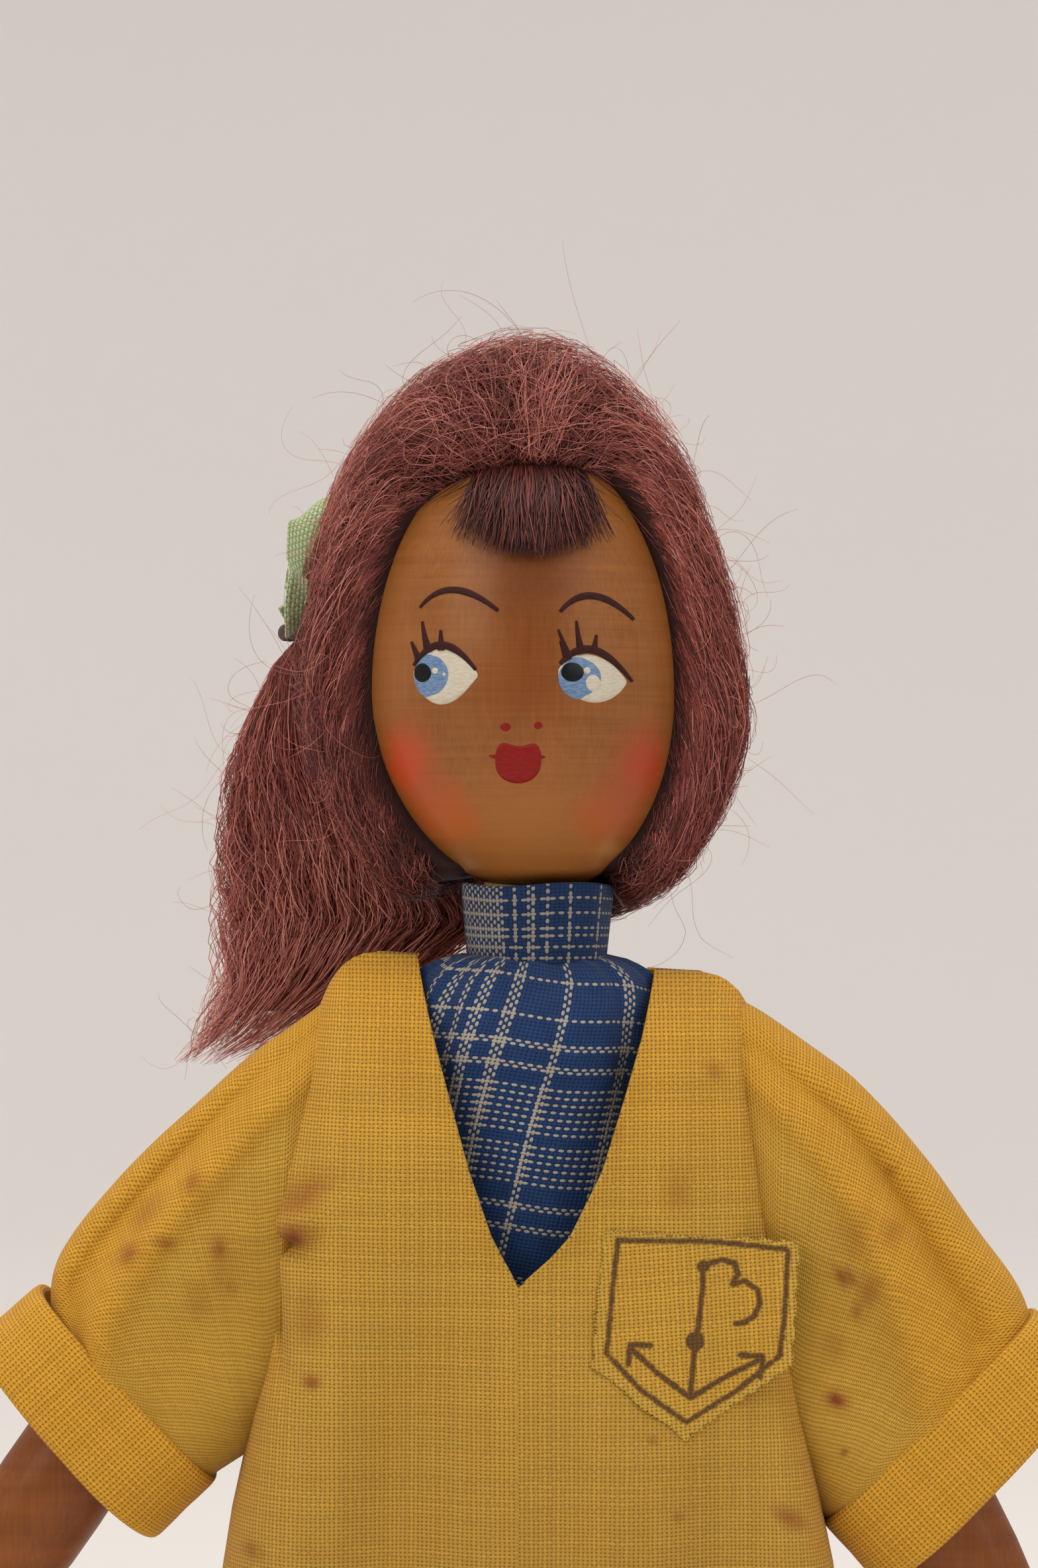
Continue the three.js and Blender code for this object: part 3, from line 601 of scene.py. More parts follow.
for side, sign in SIDES.items():
    low, high = (np.array(c) - doll_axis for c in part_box(f"{side}_leg"))
    leg_x, leg_r = (low[0] + high[0]) * 500, (high[0] - low[0]) * 500
    crown = np.linspace(0, np.pi / 2, 12)
    profile = np.vstack(
        [
            [[leg_r, low[2] * 1000 + 0.2]],
            np.stack([np.full(24, leg_r), np.linspace(6, HIP_HEIGHT, 24)], 1),
            np.stack([leg_r * np.cos(crown), HIP_HEIGHT + leg_r * np.sin(crown)], 1)[1:-1],
        ]
    )
    grid = turn(profile, 48)
    grid[:, :, 0] += leg_x
    leg = surface(f"{side}_leg_turned", grid, leg_wood, around=True, ends=True)
    fit(leg, f"{side}_leg", "lacquered_wood", f"{side}_leg")

    low, high = (np.array(c) * 1000 - doll_axis * 1000 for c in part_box(f"{side}_shoe"))
    middle, half = (low + high) / 2, (high - low) / 2
    # Rows up the shoe: height share, width share, length share, and how far back its middle is.
    rows = np.array(
        [
            (0.0, 0.86, 0.9, 0.0),
            (0.015, 0.93, 0.955, 0.0),
            (0.06, 0.975, 0.985, 0.0),
            (0.14, 0.985, 0.99, 0.0),
            (0.2, 0.99, 0.995, 0.0),
            (0.235, 0.955, 0.965, 0.0),
            (0.27, 0.955, 0.965, 0.0),
            (0.4, 0.99, 0.985, 0.0),
            (0.55, 0.985, 0.96, 0.2),
            (0.7, 0.96, 0.88, 0.7),
            (0.82, 0.93, 0.77, 1.6),
            (0.92, 0.9, 0.66, 2.6),
            (0.985, 0.87, 0.58, 3.2),
            (1.0, 0.84, 0.54, 3.4),
            (0.985, 0.82, 0.51, 3.5),
            (0.9, 0.81, 0.5, 3.5),
        ]
    )
    angle = np.linspace(0, 2 * np.pi, 72, endpoint=False)
    squared = lambda v: np.sign(v) * np.abs(v) ** (2 / 2.3)
    grid = np.stack(
        [
            middle[0] + half[0] * rows[:, 1:2] * squared(np.cos(angle)) * (
                1 - 0.1 * np.clip(np.sin(angle), 0, 1)
            ),
            middle[1] + rows[:, 3:] + half[1] * rows[:, 2:3] * squared(np.sin(angle)),
            low[2] + 2 * half[2] * rows[:, :1] + 0 * angle,
        ],
        2,
    )
    shoe = surface(f"{side}_shoe_carved", grid, shoe_paint, around=True, ends=True)
    fit(shoe, f"{side}_leg", "painted_wood", f"{side}_shoe")

# ---------------------------------------------------------------- checked shirt and its collar
# Plain-woven cotton, blue with white threads in pairs and bands, gathered under a stand-up
# collar whose end laps over at the doll's left. The check hangs a little askew.
WARP_PITCH, WEFT_PITCH = 0.46, 0.37  # millimetres from thread to thread


def woven(material, u, v, warp_pitch, weft_pitch, slub=0.35):
    """Plain weave over coordinates in millimetres: warp threads at steps of u, weft at steps of
    v, each passing over and under the other. Gives height, warp on top, and thread numbers."""
    math = lambda operation, *values: add_node(
        material, "Math", dict(enumerate(values)), operation=operation
    ).outputs[0]
    wander = add_node(material, "TexNoise", {"Scale": 900.0, "Detail": 1.0})
    place = add_node(material, "TexCoord").outputs["Object"]
    material.node_tree.links.new(place, wander.inputs[0])
    sway = math("MULTIPLY_ADD", wander.outputs[0], slub, -slub / 2)
    across = math("ADD", math("DIVIDE", u, warp_pitch), sway)
    along = math("SUBTRACT", math("DIVIDE", v, weft_pitch), sway)
    warp_number, weft_number = math("FLOOR", across), math("FLOOR", along)
    from_warp = math("SUBTRACT", math("SUBTRACT", across, warp_number), 0.5)
    from_weft = math("SUBTRACT", math("SUBTRACT", along, weft_number), 0.5)
    turn_about = math("PINGPONG", math("ADD", warp_number, weft_number), 1.0)
    lean = math("MULTIPLY_ADD", turn_about, 2.0, -1.0)
    warp_round = math("COSINE", math("MULTIPLY", from_warp, np.pi))
    weft_round = math("COSINE", math("MULTIPLY", from_weft, np.pi))
    warp_rise = math("MULTIPLY_ADD", math("MULTIPLY", lean, weft_round), 0.45, 0.55)
    weft_rise = math("MULTIPLY_ADD", math("MULTIPLY", lean, warp_round), -0.45, 0.55)
    warp_height = math("MULTIPLY", warp_round, warp_rise)
    weft_height = math("MULTIPLY", weft_round, weft_rise)
    height = math("MAXIMUM", warp_height, weft_height)
    warp_on_top = math("GREATER_THAN", warp_height, weft_height)
    return height, warp_on_top, warp_number, weft_number


def cloth_shader(material, shader, height, colour, gap_colour, depth=0.0001, strength=0.7):
    """Darkens the gaps between threads and gives the threads their relief."""
    open_gap = add_node(material, "MapRange", {0: height, 1: 0.1, 2: 0.62}, interpolation_type="SMOOTHSTEP")
    tint = add_node(material, "Mix", {0: open_gap.outputs[0], 6: gap_colour, 7: colour}, data_type="RGBA")
    relief = add_node(material, "Bump", {"Height": height, "Strength": strength, "Distance": depth})
    material.node_tree.links.new(tint.outputs[2], shader.inputs["Base Color"])
    material.node_tree.links.new(relief.outputs[0], shader.inputs["Normal"])


def checked(name, stripes, lines, bands, tone):
    """Blue cotton with white warp stripes (middle, half width) and white weft lines, and bands in
    which every other weft thread is white, in millimetres of the cloth. tone dims it all."""
    made, shader = new_material(name, Roughness=0.85, Specular_IOR_Level=0.2, Sheen_Weight=0.08)
    uv = add_node(made, "UVMap", uv_map="cloth").outputs[0]
    split = add_node(made, "SeparateXYZ", {0: uv})
    math = lambda operation, *values: add_node(
        made, "Math", dict(enumerate(values)), operation=operation
    ).outputs[0]
    height, warp_on_top, warp_number, weft_number = woven(
        made, split.outputs[0], split.outputs[1], WARP_PITCH, WEFT_PITCH, 0.25
    )
    warp_place = math("MULTIPLY", math("ADD", warp_number, 0.5), WARP_PITCH)
    weft_place = math("MULTIPLY", math("ADD", weft_number, 0.5), WEFT_PITCH)
    white_warp, white_weft = 0.0, 0.0
    for middle, half in stripes:
        white_warp = math("MAXIMUM", white_warp, math("COMPARE", warp_place, middle, half))
    for middle, half in lines:
        white_weft = math("MAXIMUM", white_weft, math("COMPARE", weft_place, middle, half))
    odd = math("PINGPONG", weft_number, 1.0)
    for middle, half in bands:
        inside = math("MULTIPLY", math("COMPARE", weft_place, middle, half), odd)
        white_weft = math("MAXIMUM", white_weft, inside)
    pick = add_node(made, "Mix", {0: warp_on_top, 2: white_weft, 3: white_warp}, data_type="FLOAT")
    place = add_node(made, "TexCoord").outputs["Object"]
    fade = add_node(made, "TexNoise", {0: place, "Scale": 500.0, "Detail": 3.0})
    blue = add_node(
        made,
        "Mix",
        {0: fade.outputs[0], 6: linear("#142e5a"), 7: linear("#23477e")},
        data_type="RGBA",
    )
    white = add_node(
        made,
        "Mix",
        {0: fade.outputs[0], 6: linear("#9a948b"), 7: linear("#bbb5ad")},
        data_type="RGBA",
    )
    thread = add_node(
        made,
        "Mix",
        {0: pick.outputs[0], 6: blue.outputs[2], 7: white.outputs[2]},
        data_type="RGBA",
    )
    dimmed = add_node(made, "VectorMath", {0: thread.outputs[2], "Scale": tone}, operation="SCALE")
    cloth_shader(made, shader, height, dimmed.outputs[0], linear("#091427"))
    return made


shirt_check = checked(
    "blue_checked_cotton",
    [(-12.6, 0.5), (-9.9, 0.5), (-7.4, 0.5), (-5.3, 0.5), (-2.1, 0.5), (3.6, 0.5), (11.6, 0.7)],
    [(136.2, 0.2), (132.7, 0.2), (129.9, 0.4), (127.8, 0.4), (113.7, 0.4), (111.4, 0.4), (106.0, 0.4)],
    [(123.6, 2.7), (118.0, 2.2), (101.0, 2.2)],
    tone=0.86,
)
# The collar's check is dimmed further than the shirt's, tone 0.62 against 0.86: painted shade under the
# chin.
collar_check_shaded = checked(
    "blue_checked_collar_cotton_shaded",
    [(-6.6, 3.3), (-2.2, 0.25), (-0.4, 0.4), (1.2, 0.4), (3.5, 0.4), (7.1, 0.4), (13.0, 0.5)],
    [(139.3, 0.2), (142.6, 0.2)],
    [(141.0, 0.6), (138.3, 0.5), (144.4, 0.4)],
    tone=0.62,
)

bodice_low, bodice_high = (np.array(c) - doll_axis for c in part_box("shirt_bodice"))
collar_low, collar_high = (np.array(c) - doll_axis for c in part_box("shirt_collar"))
NECK_BASE = bodice_high[2] * 1000
chest_z = NECK_BASE + np.array([-67, -40, -20, -14, -8.4, -3.8, -1.6, -0.3, 0.6, 1.0])
chest_r = [12.6, 13.1, 13.6, 13.9, 14.2, 13.5, 12.5, 11.0, 9.0, 7.0]
chest_flat = np.interp(np.arange(60, 140), NECK_BASE + np.array([-14, -5, 0, 1]), [0.88, 0.84, 0.7, 0.74])
height = np.linspace(bodice_low[2] * 1000, NECK_BASE + 1, 90)[:, None]
angle = np.linspace(0, 2 * np.pi, 180, endpoint=False)
radius = np.interp(height, chest_z, chest_r)
# Gathers run down from the collar and die out over the chest.
gather = np.clip((height - (NECK_BASE - 16)) / 14, 0, 1)
radius = radius + gather * (0.28 * np.sin(13 * angle + 0.6) + 0.18 * np.sin(22 * angle))
radius = radius + 0.25 * np.sin(3 * angle + height / 9)
bodice_grid = np.stack(
    [
        radius * np.sin(angle),
        -radius * np.cos(angle) * np.interp(height, np.arange(60, 140), chest_flat),
        height + 0 * angle,
    ],
    2,
)
# The bosom of the shirt swells a little where the gathers let it out.
swell = np.exp(-(((height - 130) / 6) ** 2)) * np.clip(np.cos(angle), 0, 1) ** 2
bodice_grid[:, :, 1] -= 1.1 * swell
bodice_grid[:, :, 0] += 0.7 * gather
lean = 14 * RADIANS
closed = np.append(angle, 2 * np.pi)
around_mm = 13.6 * np.where(closed > np.pi, closed - 2 * np.pi, closed)
flat_x, flat_z = np.meshgrid(around_mm, height[:, 0])
bodice_uv = np.stack(
    [flat_x - (flat_z - 132.7) * np.tan(lean), flat_z + 0.09 * flat_x + 0.2 * np.sin(flat_x / 2.5)], 2
)
bodice = surface("shirt_bodice_gathered", bodice_grid, shirt_check, around=True, uv=bodice_uv)
thicken = bodice.modifiers.new("cloth_thickness", "SOLIDIFY")
thicken.thickness, thicken.offset = 0.0004, -1
fit(bodice, "torso", "checked_cotton", "shirt_bodice")

# The collar is a doubled strip wound once round the neck, with its end lapped over.
wind = np.linspace(-1.28 * np.pi, 0.80 * np.pi, 170)
share = np.linspace(0, 1, 170)
rise = np.linspace(collar_low[2] * 1000 - 0.5, collar_high[2] * 1000 + 0.25, 30)[:, None]
up = (rise - rise[0]) / (rise[-1] - rise[0])
out = 7.0 + 0.75 * up + 0.75 * share**6 + 0.12 * np.sin(9 * wind) * up
out = out + 0.25 * np.sin(2 * wind + 0.5)
skin_z = rise + 0.18 * np.sin(3.1 * wind) * up + 0.5 * up * (share - 0.5) * 0.6
outer = np.stack([1.25 + out * np.sin(wind), -out * np.cos(wind), skin_z], 2)
collar_uv = np.stack([7.4 * wind + 0 * rise, rise + 0 * wind], 2)
collar = surface("shirt_collar_band", outer, collar_check_shaded, uv=collar_uv)
thicken = collar.modifiers.new("cloth_thickness", "SOLIDIFY")
thicken.thickness, thicken.offset = 0.0007, -1
soften = collar.modifiers.new("soft_edge", "BEVEL")
soften.width, soften.segments, soften.angle_limit = 0.00022, 2, 60 * RADIANS
fit(collar, "torso", "checked_cotton", "shirt_collar")

# ---------------------------------------------------------------- smock body
# One loose T-shaped smock of ochre cotton, cut raw and folded at the neck, worn thin and paler in
# front, stained brown in places, and darkened towards the hem by a broad painted shade. It hangs open at
# the sides behind the sleeves.
HEM = (np.array(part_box("smock_body")[0]) - doll_axis)[2] * 1000
smock_z = [
    HEM, 76.8, 82.6, 88.1, 92.3, 96.5, 99.2, 103.2, 107.8, 111.2, 116.6, 122.5, 129.2, 133, 135, 136.5,
    137.4, 137.9, 138.2
]
doll_right_half = [
    30.6, 30.0, 29.1, 27.9, 27.3, 26.3, 25.8, 26.1, 26.6, 26.5, 25.4, 23.3, 21.2, 20.2, 19.3, 18.2, 17.1,
    16.0, 14.6
]
doll_left_half = [
    31.2, 31.1, 29.9, 28.9, 28.1, 27.5, 27.1, 26.7, 26.3, 25.6, 25.0, 24.3, 23.3, 22.8, 22.4, 21.6, 20.6,
    19.5, 18.0
]
depth_z = [HEM, 88, 105, 118, 127, 131, 134, 136, 137.3, 137.9, 138.2]
front_depth = [15.9, 15.5, 15.2, 14.8, 13.4, 11.6, 8.9, 6.0, 3.2, 1.5, 0.15]
back_depth = [15.8, 15.2, 14.6, 14.0, 12.8, 11.0, 8.4, 5.6, 3.0, 1.4, 0.15]


def smock_power(z):
    """How square the smock's outline is seen from above: fuller below, plain oval on top."""
    return np.interp(z, [100, 130, 138], [3.2, 2.8, 2.2])


def dent(x, z, at, size, tilt=0.0):
    """A soft round bump of height one at a place, with its radii, leaning by tilt radians."""
    dx, dz = x - at[0], z - at[1]
    a, b = dx * np.cos(tilt) + dz * np.sin(tilt), dz * np.cos(tilt) - dx * np.sin(tilt)
    return np.exp(-((a / size[0]) ** 2) - (b / size[1]) ** 2)


def front_relief(x, z):
    """How far the front stands out of its plain form: soft hanging folds, a tuck pinched in at
    the doll's right side, and a turned-back fold that falls from the doll's left shoulder."""
    hang = np.clip((118 - z) / 34, 0, 1)
    waves = 1.5 * np.sin(x / 4.4 + 0.8) + 0.9 * np.sin(x / 2.7 - z / 26)
    tuck = -3.4 * dent(x, z, (-23.6, 109.6), (2.0, 1.1)) + 1.5 * dent(x, z, (-22.2, 112.0), (3.6, 1.7), 0.5)
    pleat = -2.4 * dent(x, z, (-24.2 + 0.03 * (105 - z), 103.5), (0.7, 7.0), 0.06)
    fold = -2.4 * dent(x, z, (23.4 + 0.18 * (121.5 - z), 121.0), (0.9, 9.5))
    slack = 1.1 * dent(x, z, (-14, 118), (5, 13), 0.25) - 1.0 * dent(x, z, (-9, 96), (6, 14), -0.3)
    drag = 0.9 * dent(x, z, (11, 84), (4, 16), 0.35) - 0.5 * dent(x, z, (19, 120), (3, 11), 0.1)
    return hang * waves + tuck + pleat + fold + slack + drag


def smock_front(x, z, lift=0.0):
    """Depth of the smock's front under a point, or lift millimetres in front of it."""
    half = np.where(x < 0, np.interp(z, smock_z, doll_right_half), np.interp(z, smock_z, doll_left_half))
    power = smock_power(z)
    flat = np.clip(1 - np.abs(x / half) ** power, 0, 1) ** (1 / power)
    return -np.interp(
        z, depth_z, front_depth
    ) * flat - front_relief(x, z) * np.clip(flat * 1.6, 0, 1) - lift


V_FOOT = 106.0
rows_z = np.concatenate([np.linspace(HEM, V_FOOT - 0.1, 68), np.linspace(V_FOOT + 0.2, 138.2, 88)])
neck_z = [V_FOOT - 0.1, 107.2, 108.8, 110.9, 117.3, 125.3, 131.0, 137.6, 139]
neck_right = np.interp(rows_z, neck_z, [-0.5, -1.1, -2.0, -3.1, -5.3, -7.5, -9.0, -10.6, -10.9])
neck_left = np.interp(rows_z, neck_z, [-0.5, 0.9, 2.7, 4.6, 7.8, 10.3, 11.8, 13.2, 13.5])
turns = np.linspace(0, 2 * np.pi, 1440)
COLUMNS = 300


def smock_row(z, right_edge, left_edge):
    """One level of the smock as x, y and cloth position: from the doll's right neck edge round
    the back to its left neck edge, in even steps along the cloth."""
    power = smock_power(z)
    rounded = lambda v: np.sign(v) * np.abs(v) ** (2 / power)
    half = np.where(
        turns < np.pi, np.interp(z, smock_z, doll_right_half), np.interp(z, smock_z, doll_left_half)
    )
    deep = np.where(
        np.cos(turns) > 0, np.interp(z, depth_z, front_depth), np.interp(z, depth_z, back_depth)
    )
    x, y = -half * rounded(np.sin(turns)), -deep * rounded(np.cos(turns))
    length = np.concatenate([[0], np.cumsum(np.hypot(np.diff(x), np.diff(y)))])
    first = np.interp(-right_edge, -x[:360], length[:360])
    last = np.interp(-left_edge, -x[-360:], length[-360:])
    if z < V_FOOT:
        first, last = 0.5, length[-1] + 0.5
    at = np.linspace(first, last, COLUMNS)
    phase = np.clip((at / length[-1] - 0.35) / 0.3, 0, 1)
    cloth = -at + (length[-1] - 118.0) * phase**2 * (3 - 2 * phase)
    wrapped = at % length[-1]
    return np.interp(wrapped, length, x), np.interp(wrapped, length, y), cloth


levels = np.array([smock_row(*row) for row in zip(rows_z, neck_right, neck_left)])
sx, sy, s_cloth = levels[:, 0], levels[:, 1], levels[:, 2]
sz = np.broadcast_to(rows_z[:, None], sx.shape)
half_now = np.where(sx < 0, np.interp(sz, smock_z, doll_right_half), np.interp(sz, smock_z, doll_left_half))
flat = np.clip(1 - np.abs(sx / half_now) ** smock_power(sz), 0, 1) ** (1 / smock_power(sz))
in_front = sy < 0
calm = np.clip((138 - sz) / 6, 0, 1)
sy = sy - np.where(in_front, front_relief(sx, sz) * np.clip(flat * 1.6, 0, 1) * calm, 0)
sy = sy + np.where(in_front, 0, 0.8 * np.sin(sx / 4 + sz / 30) * np.clip((115 - sz) / 40, 0, 1) * flat)
# The neck edges stand off the shirt like a lip, and the shoulders slope to the doll's left.
across = np.where(sx > -0.2, sx - neck_left[:, None], neck_right[:, None] - sx)
lip = in_front * np.exp(-np.clip(across, 0, None) / 1.6) * np.clip((sz - 105) / 6, 0, 1)
sy = sy - 0.9 * lip * calm
s_height = sz - 0.062 * (sx + 10.5) * np.clip((sz - 126) / 11, 0, 1)
s_height = s_height + 0.35 * np.sin(sx / 6 + 1.0) * np.clip((84 - sz) / 12, 0, 1)
# The back of the neck opening stands up behind the shirt at the doll's left.
s_height = s_height + 4.4 * np.clip((sy - 5) / 5, 0, 1) * np.clip((sz - 124) / 8, 0, 1) * np.exp(
    -(((sx - 8) / 8) ** 2)
)
smock_points = np.stack([sx, sy, s_height], 2)
index = np.arange(sx.size).reshape(sx.shape)
index[rows_z < V_FOOT, -1] = index[rows_z < V_FOOT, 0]
corners = lambda a: np.stack([a[:-1, :-1], a[:-1, 1:], a[1:, 1:], a[1:, :-1]], axis=2)
middle_of = lambda a: (a[:-1, :-1] + a[1:, 1:]) / 2
mx, my, mz = middle_of(sx), middle_of(sy), middle_of(sz)
neck_hole = (my > 0) & (mz > 120) & (((mx - 1.0) / 12.6) ** 2 + (my / 9.2) ** 2 < 1)
armhole = (np.abs(mx) > 15) & ((my / 6.4) ** 2 + ((mz - 111) / 19.5) ** 4 < 1)
kept = ~(neck_hole | armhole)
quads = corners(index)[kept]
cloth_uv = np.stack([s_cloth, s_height + 0.012 * s_cloth], 2)
quad_uv = corners(cloth_uv)[kept]
used, quads = np.unique(quads, return_inverse=True)
quads = quads.reshape(-1, 4)


def ochre_cotton(name, warp_pitch, weft_pitch, gap="#795220"):
    """Ochre plain-weave cotton. A point attribute for wear takes it from deep orange to a paler straw:
    fading, but on the sleeves the deeper orange top strip is painted shade. A point attribute for stains
    takes it towards red brown: real stains, and on the smock a broad painted shade low down. Each thread is
    a little lighter or darker."""
    made, shader = new_material(name, Roughness=0.85, Specular_IOR_Level=0.15, Sheen_Weight=0.05)
    uv = add_node(made, "UVMap", uv_map="cloth").outputs[0]
    split = add_node(made, "SeparateXYZ", {0: uv})
    height, warp_on_top, warp_number, weft_number = woven(
        made, split.outputs[0], split.outputs[1], warp_pitch, weft_pitch
    )
    number = add_node(made, "Mix", {0: warp_on_top, 2: weft_number, 3: warp_number}, data_type="FLOAT")
    seed = add_node(
        made, "Math", {0: warp_on_top, 1: 501.5, 2: number.outputs[0]}, operation="MULTIPLY_ADD"
    )
    own = add_node(made, "TexWhiteNoise", {"W": seed.outputs[0]}, noise_dimensions="1D")
    wear_and_shade = add_node(made, "Attribute", attribute_name="wear_and_shade").outputs["Fac"]
    stain_and_shade = add_node(made, "Attribute", attribute_name="stain_and_shade").outputs["Fac"]
    place = add_node(made, "TexCoord").outputs["Object"]
    cloudy = add_node(made, "TexNoise", {0: place, "Scale": 75.0, "Detail": 4.0})
    speckled = add_node(made, "TexNoise", {0: place, "Scale": 520.0, "Detail": 3.0})
    fade_and_shade = add_node(made, "Math", {0: cloudy.outputs[0], 1: 0.6, 2: wear_and_shade}, operation="MULTIPLY_ADD")
    share = add_node(made, "MapRange", {0: fade_and_shade.outputs[0], 1: 0.3, 2: 1.35})
    ground = add_node(
        made,
        "Mix",
        {0: share.outputs[0], 6: linear("#c6932d"), 7: linear("#b7963f")},
        data_type="RGBA",
    )
    lighter = add_node(made, "MapRange", {0: own.outputs["Value"], 3: 0.94, 4: 1.14})
    thread = add_node(
        made,
        "VectorMath",
        {0: ground.outputs[2], "Scale": lighter.outputs[0]},
        operation="SCALE",
    )
    ragged = add_node(made, "Math", {0: speckled.outputs[0], 1: 0.9, 2: -0.45}, operation="MULTIPLY_ADD")
    stain_and_shade_share = add_node(made, "Math", {0: ragged.outputs[0], 1: stain_and_shade, 2: stain_and_shade}, operation="MULTIPLY_ADD")
    dyed = add_node(
        made,
        "Mix",
        {0: stain_and_shade_share.outputs[0], 6: thread.outputs[0], 7: linear("#813d1e")},
        data_type="RGBA",
    )
    cloth_shader(made, shader, height, dyed.outputs[2], linear(gap))
    return made, shader, dyed


def give(piece, name, values):
    """Stores a number per point on a piece, for its material to read."""
    piece.data.attributes.new(name, "FLOAT", "POINT").data.foreach_set(
        "value", np.asarray(values, dtype=np.float32).ravel()
    )


# Each spot: its middle, radii, lean and strength, as seen from in front. All are stains but the last, a
# broad painted shade low on the smock.
STAINS_AND_HEM_SHADE = (
    (-21.6, 114.6, 3.2, 1.6, 0.6, 0.5),
    (-22.9, 110.6, 2.2, 1.3, 0.3, 0.75),
    (-21.0, 102.6, 1.8, 2.8, 0.0, 0.3),
    (-20.9, 96.3, 0.9, 0.7, 0.0, 0.8),
    (-26.6, 79.3, 1.5, 1.1, 0.0, 0.5),
    (-20.5, 79.6, 4.5, 0.9, 0.0, 0.28),
    (-26.2, 105.0, 1.2, 3.0, 0.0, 0.3),
    (26.4, 82.6, 2.0, 1.1, -0.6, 0.55),
    (15.2, 83.0, 0.9, 0.8, 0.0, 0.4),
    (15.2, 115.5, 1.6, 2.4, 0.0, 0.28),
    (19.0, 127.0, 1.0, 0.8, -0.6, 0.35),
    (12.7, 90.7, 0.35, 0.35, 0.0, 0.9),
    (8.8, 121.5, 0.9, 1.6, 0.0, 0.25),
    (-12.0, 128.0, 2.4, 4.0, 0.2, 0.12),
    (-5.0, 99.5, 4.0, 1.6, 0.0, 0.1),
    (-5.2, 79.0, 3.0, 2.0, 0.0, 0.2),
    # Not a stain: a broad painted shade darkening the smock towards the hem.
    (0.0, 66.0, 60.0, 34.0, 0.0, 0.2),
)


def stain_and_shade_at(x, z, spots):
    """How strongly the spots mark the cloth at each point, stains and painted shade alike: the strongest of
    the spots there.
    """
    return np.max([1.3 * s * dent(x, z, (a, b), (w, h), t) for a, b, w, h, t, s in spots], axis=0)


smock_cloth = ochre_cotton("ochre_smock_cotton", 0.45, 0.39)[0]
smock = build(
    "smock_body_draped", smock_points.reshape(-1, 3)[used], [quads], smock_cloth, quad_uv.reshape(-1, 2)
)
# Stains, and the broad painted shade towards the hem, on the smock's front.
give(smock, "stain_and_shade", (stain_and_shade_at(sx, s_height, STAINS_AND_HEM_SHADE) * in_front).ravel()[used])
side_on = np.clip((np.abs(sx) / half_now - 0.9) / 0.1, 0, 1)
worn_now = 0.75 - 0.6 * side_on + 0.2 * np.clip(
    (110 - sz) / 30, 0, 1
) - 0.55 * np.clip((sz - 112) / 22, 0, 1)
give(smock, "wear_and_shade", worn_now.ravel()[used])
thicken = smock.modifiers.new("cloth_thickness", "SOLIDIFY")
thicken.thickness, thicken.offset = 0.00035, -1
fit(smock, "torso", "yellow_cotton", "smock_body")

# ---------------------------------------------------------------- sleeves
# Wide sleeves of the same ochre cotton, creased along their upper side, where a deeper orange
# strip is painted shade on the cloth that faces up and back. Each is sewn in behind the side of the smock.
# The upper line as seen from in front, from the shoulder to the cuff, then the lower line.
SLEEVE_LINES = {
    "right": (
        [
            (-15.4, 136.0), (-18.4, 134.6), (-21.4, 132.2), (-27.5, 128.0), (-32.5, 123.4), (-36.7, 119.7),
            (-40.1, 116.3), (-44.3, 111.5), (-46.8, 107.9), (-47.6, 105.6), (-47.5, 103.2)
        ],
        [(-23.8, 95.0), (-25.2, 91.2), (-27.9, 88.4), (-31.2, 86.3), (-32.8, 85.0)],
    ),
    "left": (
        [
            (17.2, 134.9), (20.2, 134.2), (23.2, 133.0), (26.9, 130.4), (33.2, 125.9), (37.4, 121.5),
            (41.6, 116.4), (45.8, 110.3), (49.4, 105.7), (50.7, 103.4), (51.2, 101.2)
        ],
        [(24.2, 95.0), (26.2, 89.2), (28.8, 84.0), (30.2, 82.2), (31.6, 80.9)],
    ),
}
SLEEVE_STAINS = {
    "right": (
        (-30.4, 109.2, 0.9, 1.3, 0.0, 0.6),
        (-35.9, 109.9, 0.9, 0.7, 0.0, 0.55),
        (-37.6, 112.4, 1.0, 2.2, -0.6, 0.3),
        (-39.3, 108.5, 1.0, 1.4, -0.6, 0.45),
        (-33.0, 115.6, 0.8, 1.2, -0.5, 0.4),
        (-29.2, 105.2, 0.6, 0.6, 0.0, 0.4),
        (-32.6, 104.2, 1.4, 1.6, 0.0, 0.25),
        (-30.1, 108.0, 1.6, 3.6, 0.1, 0.2),
    ),
    "left": (
        (32.3, 106.4, 1.5, 0.7, -0.5, 0.7),
        (34.6, 104.9, 1.2, 1.7, -0.4, 0.45),
        (33.6, 103.0, 0.8, 0.7, -0.3, 0.45),
        (32.9, 110.2, 2.0, 2.4, 0.0, 0.2),
        (31.4, 94.0, 1.2, 0.8, -0.4, 0.75),
        (32.2, 88.8, 0.4, 0.4, 0.0, 0.6),
        (37.0, 116.9, 0.6, 0.8, -0.4, 0.3),
        (36.8, 110.8, 1.0, 1.4, -0.3, 0.3),
        (31.2, 99.4, 1.2, 1.6, 0.0, 0.22),
    ),
}
CUFF_DEPTH = {"left": 8.25, "right": 9.25}
sleeve_cloth = ochre_cotton("ochre_sleeve_cotton", 0.45, 0.39)[0]


def evenly(points, count):
    """A polyline through the points, resampled to count even steps of its length."""
    points = np.asarray(points, dtype=float)
    steps = np.hypot(*np.diff(points, axis=0).T)
    length = np.concatenate([[0], np.cumsum(steps)])
    at = np.linspace(0, length[-1], count)
    return np.stack([np.interp(at, length, c) for c in points.T], 1)


def softened(values, passes=6):
    """Rows averaged with their neighbours some passes over, with the ends held."""
    for _ in range(passes):
        values = np.concatenate(
            [values[:1], (values[:-2] + 2 * values[1:-1] + values[2:]) / 4, values[-1:]]
        )
    return values


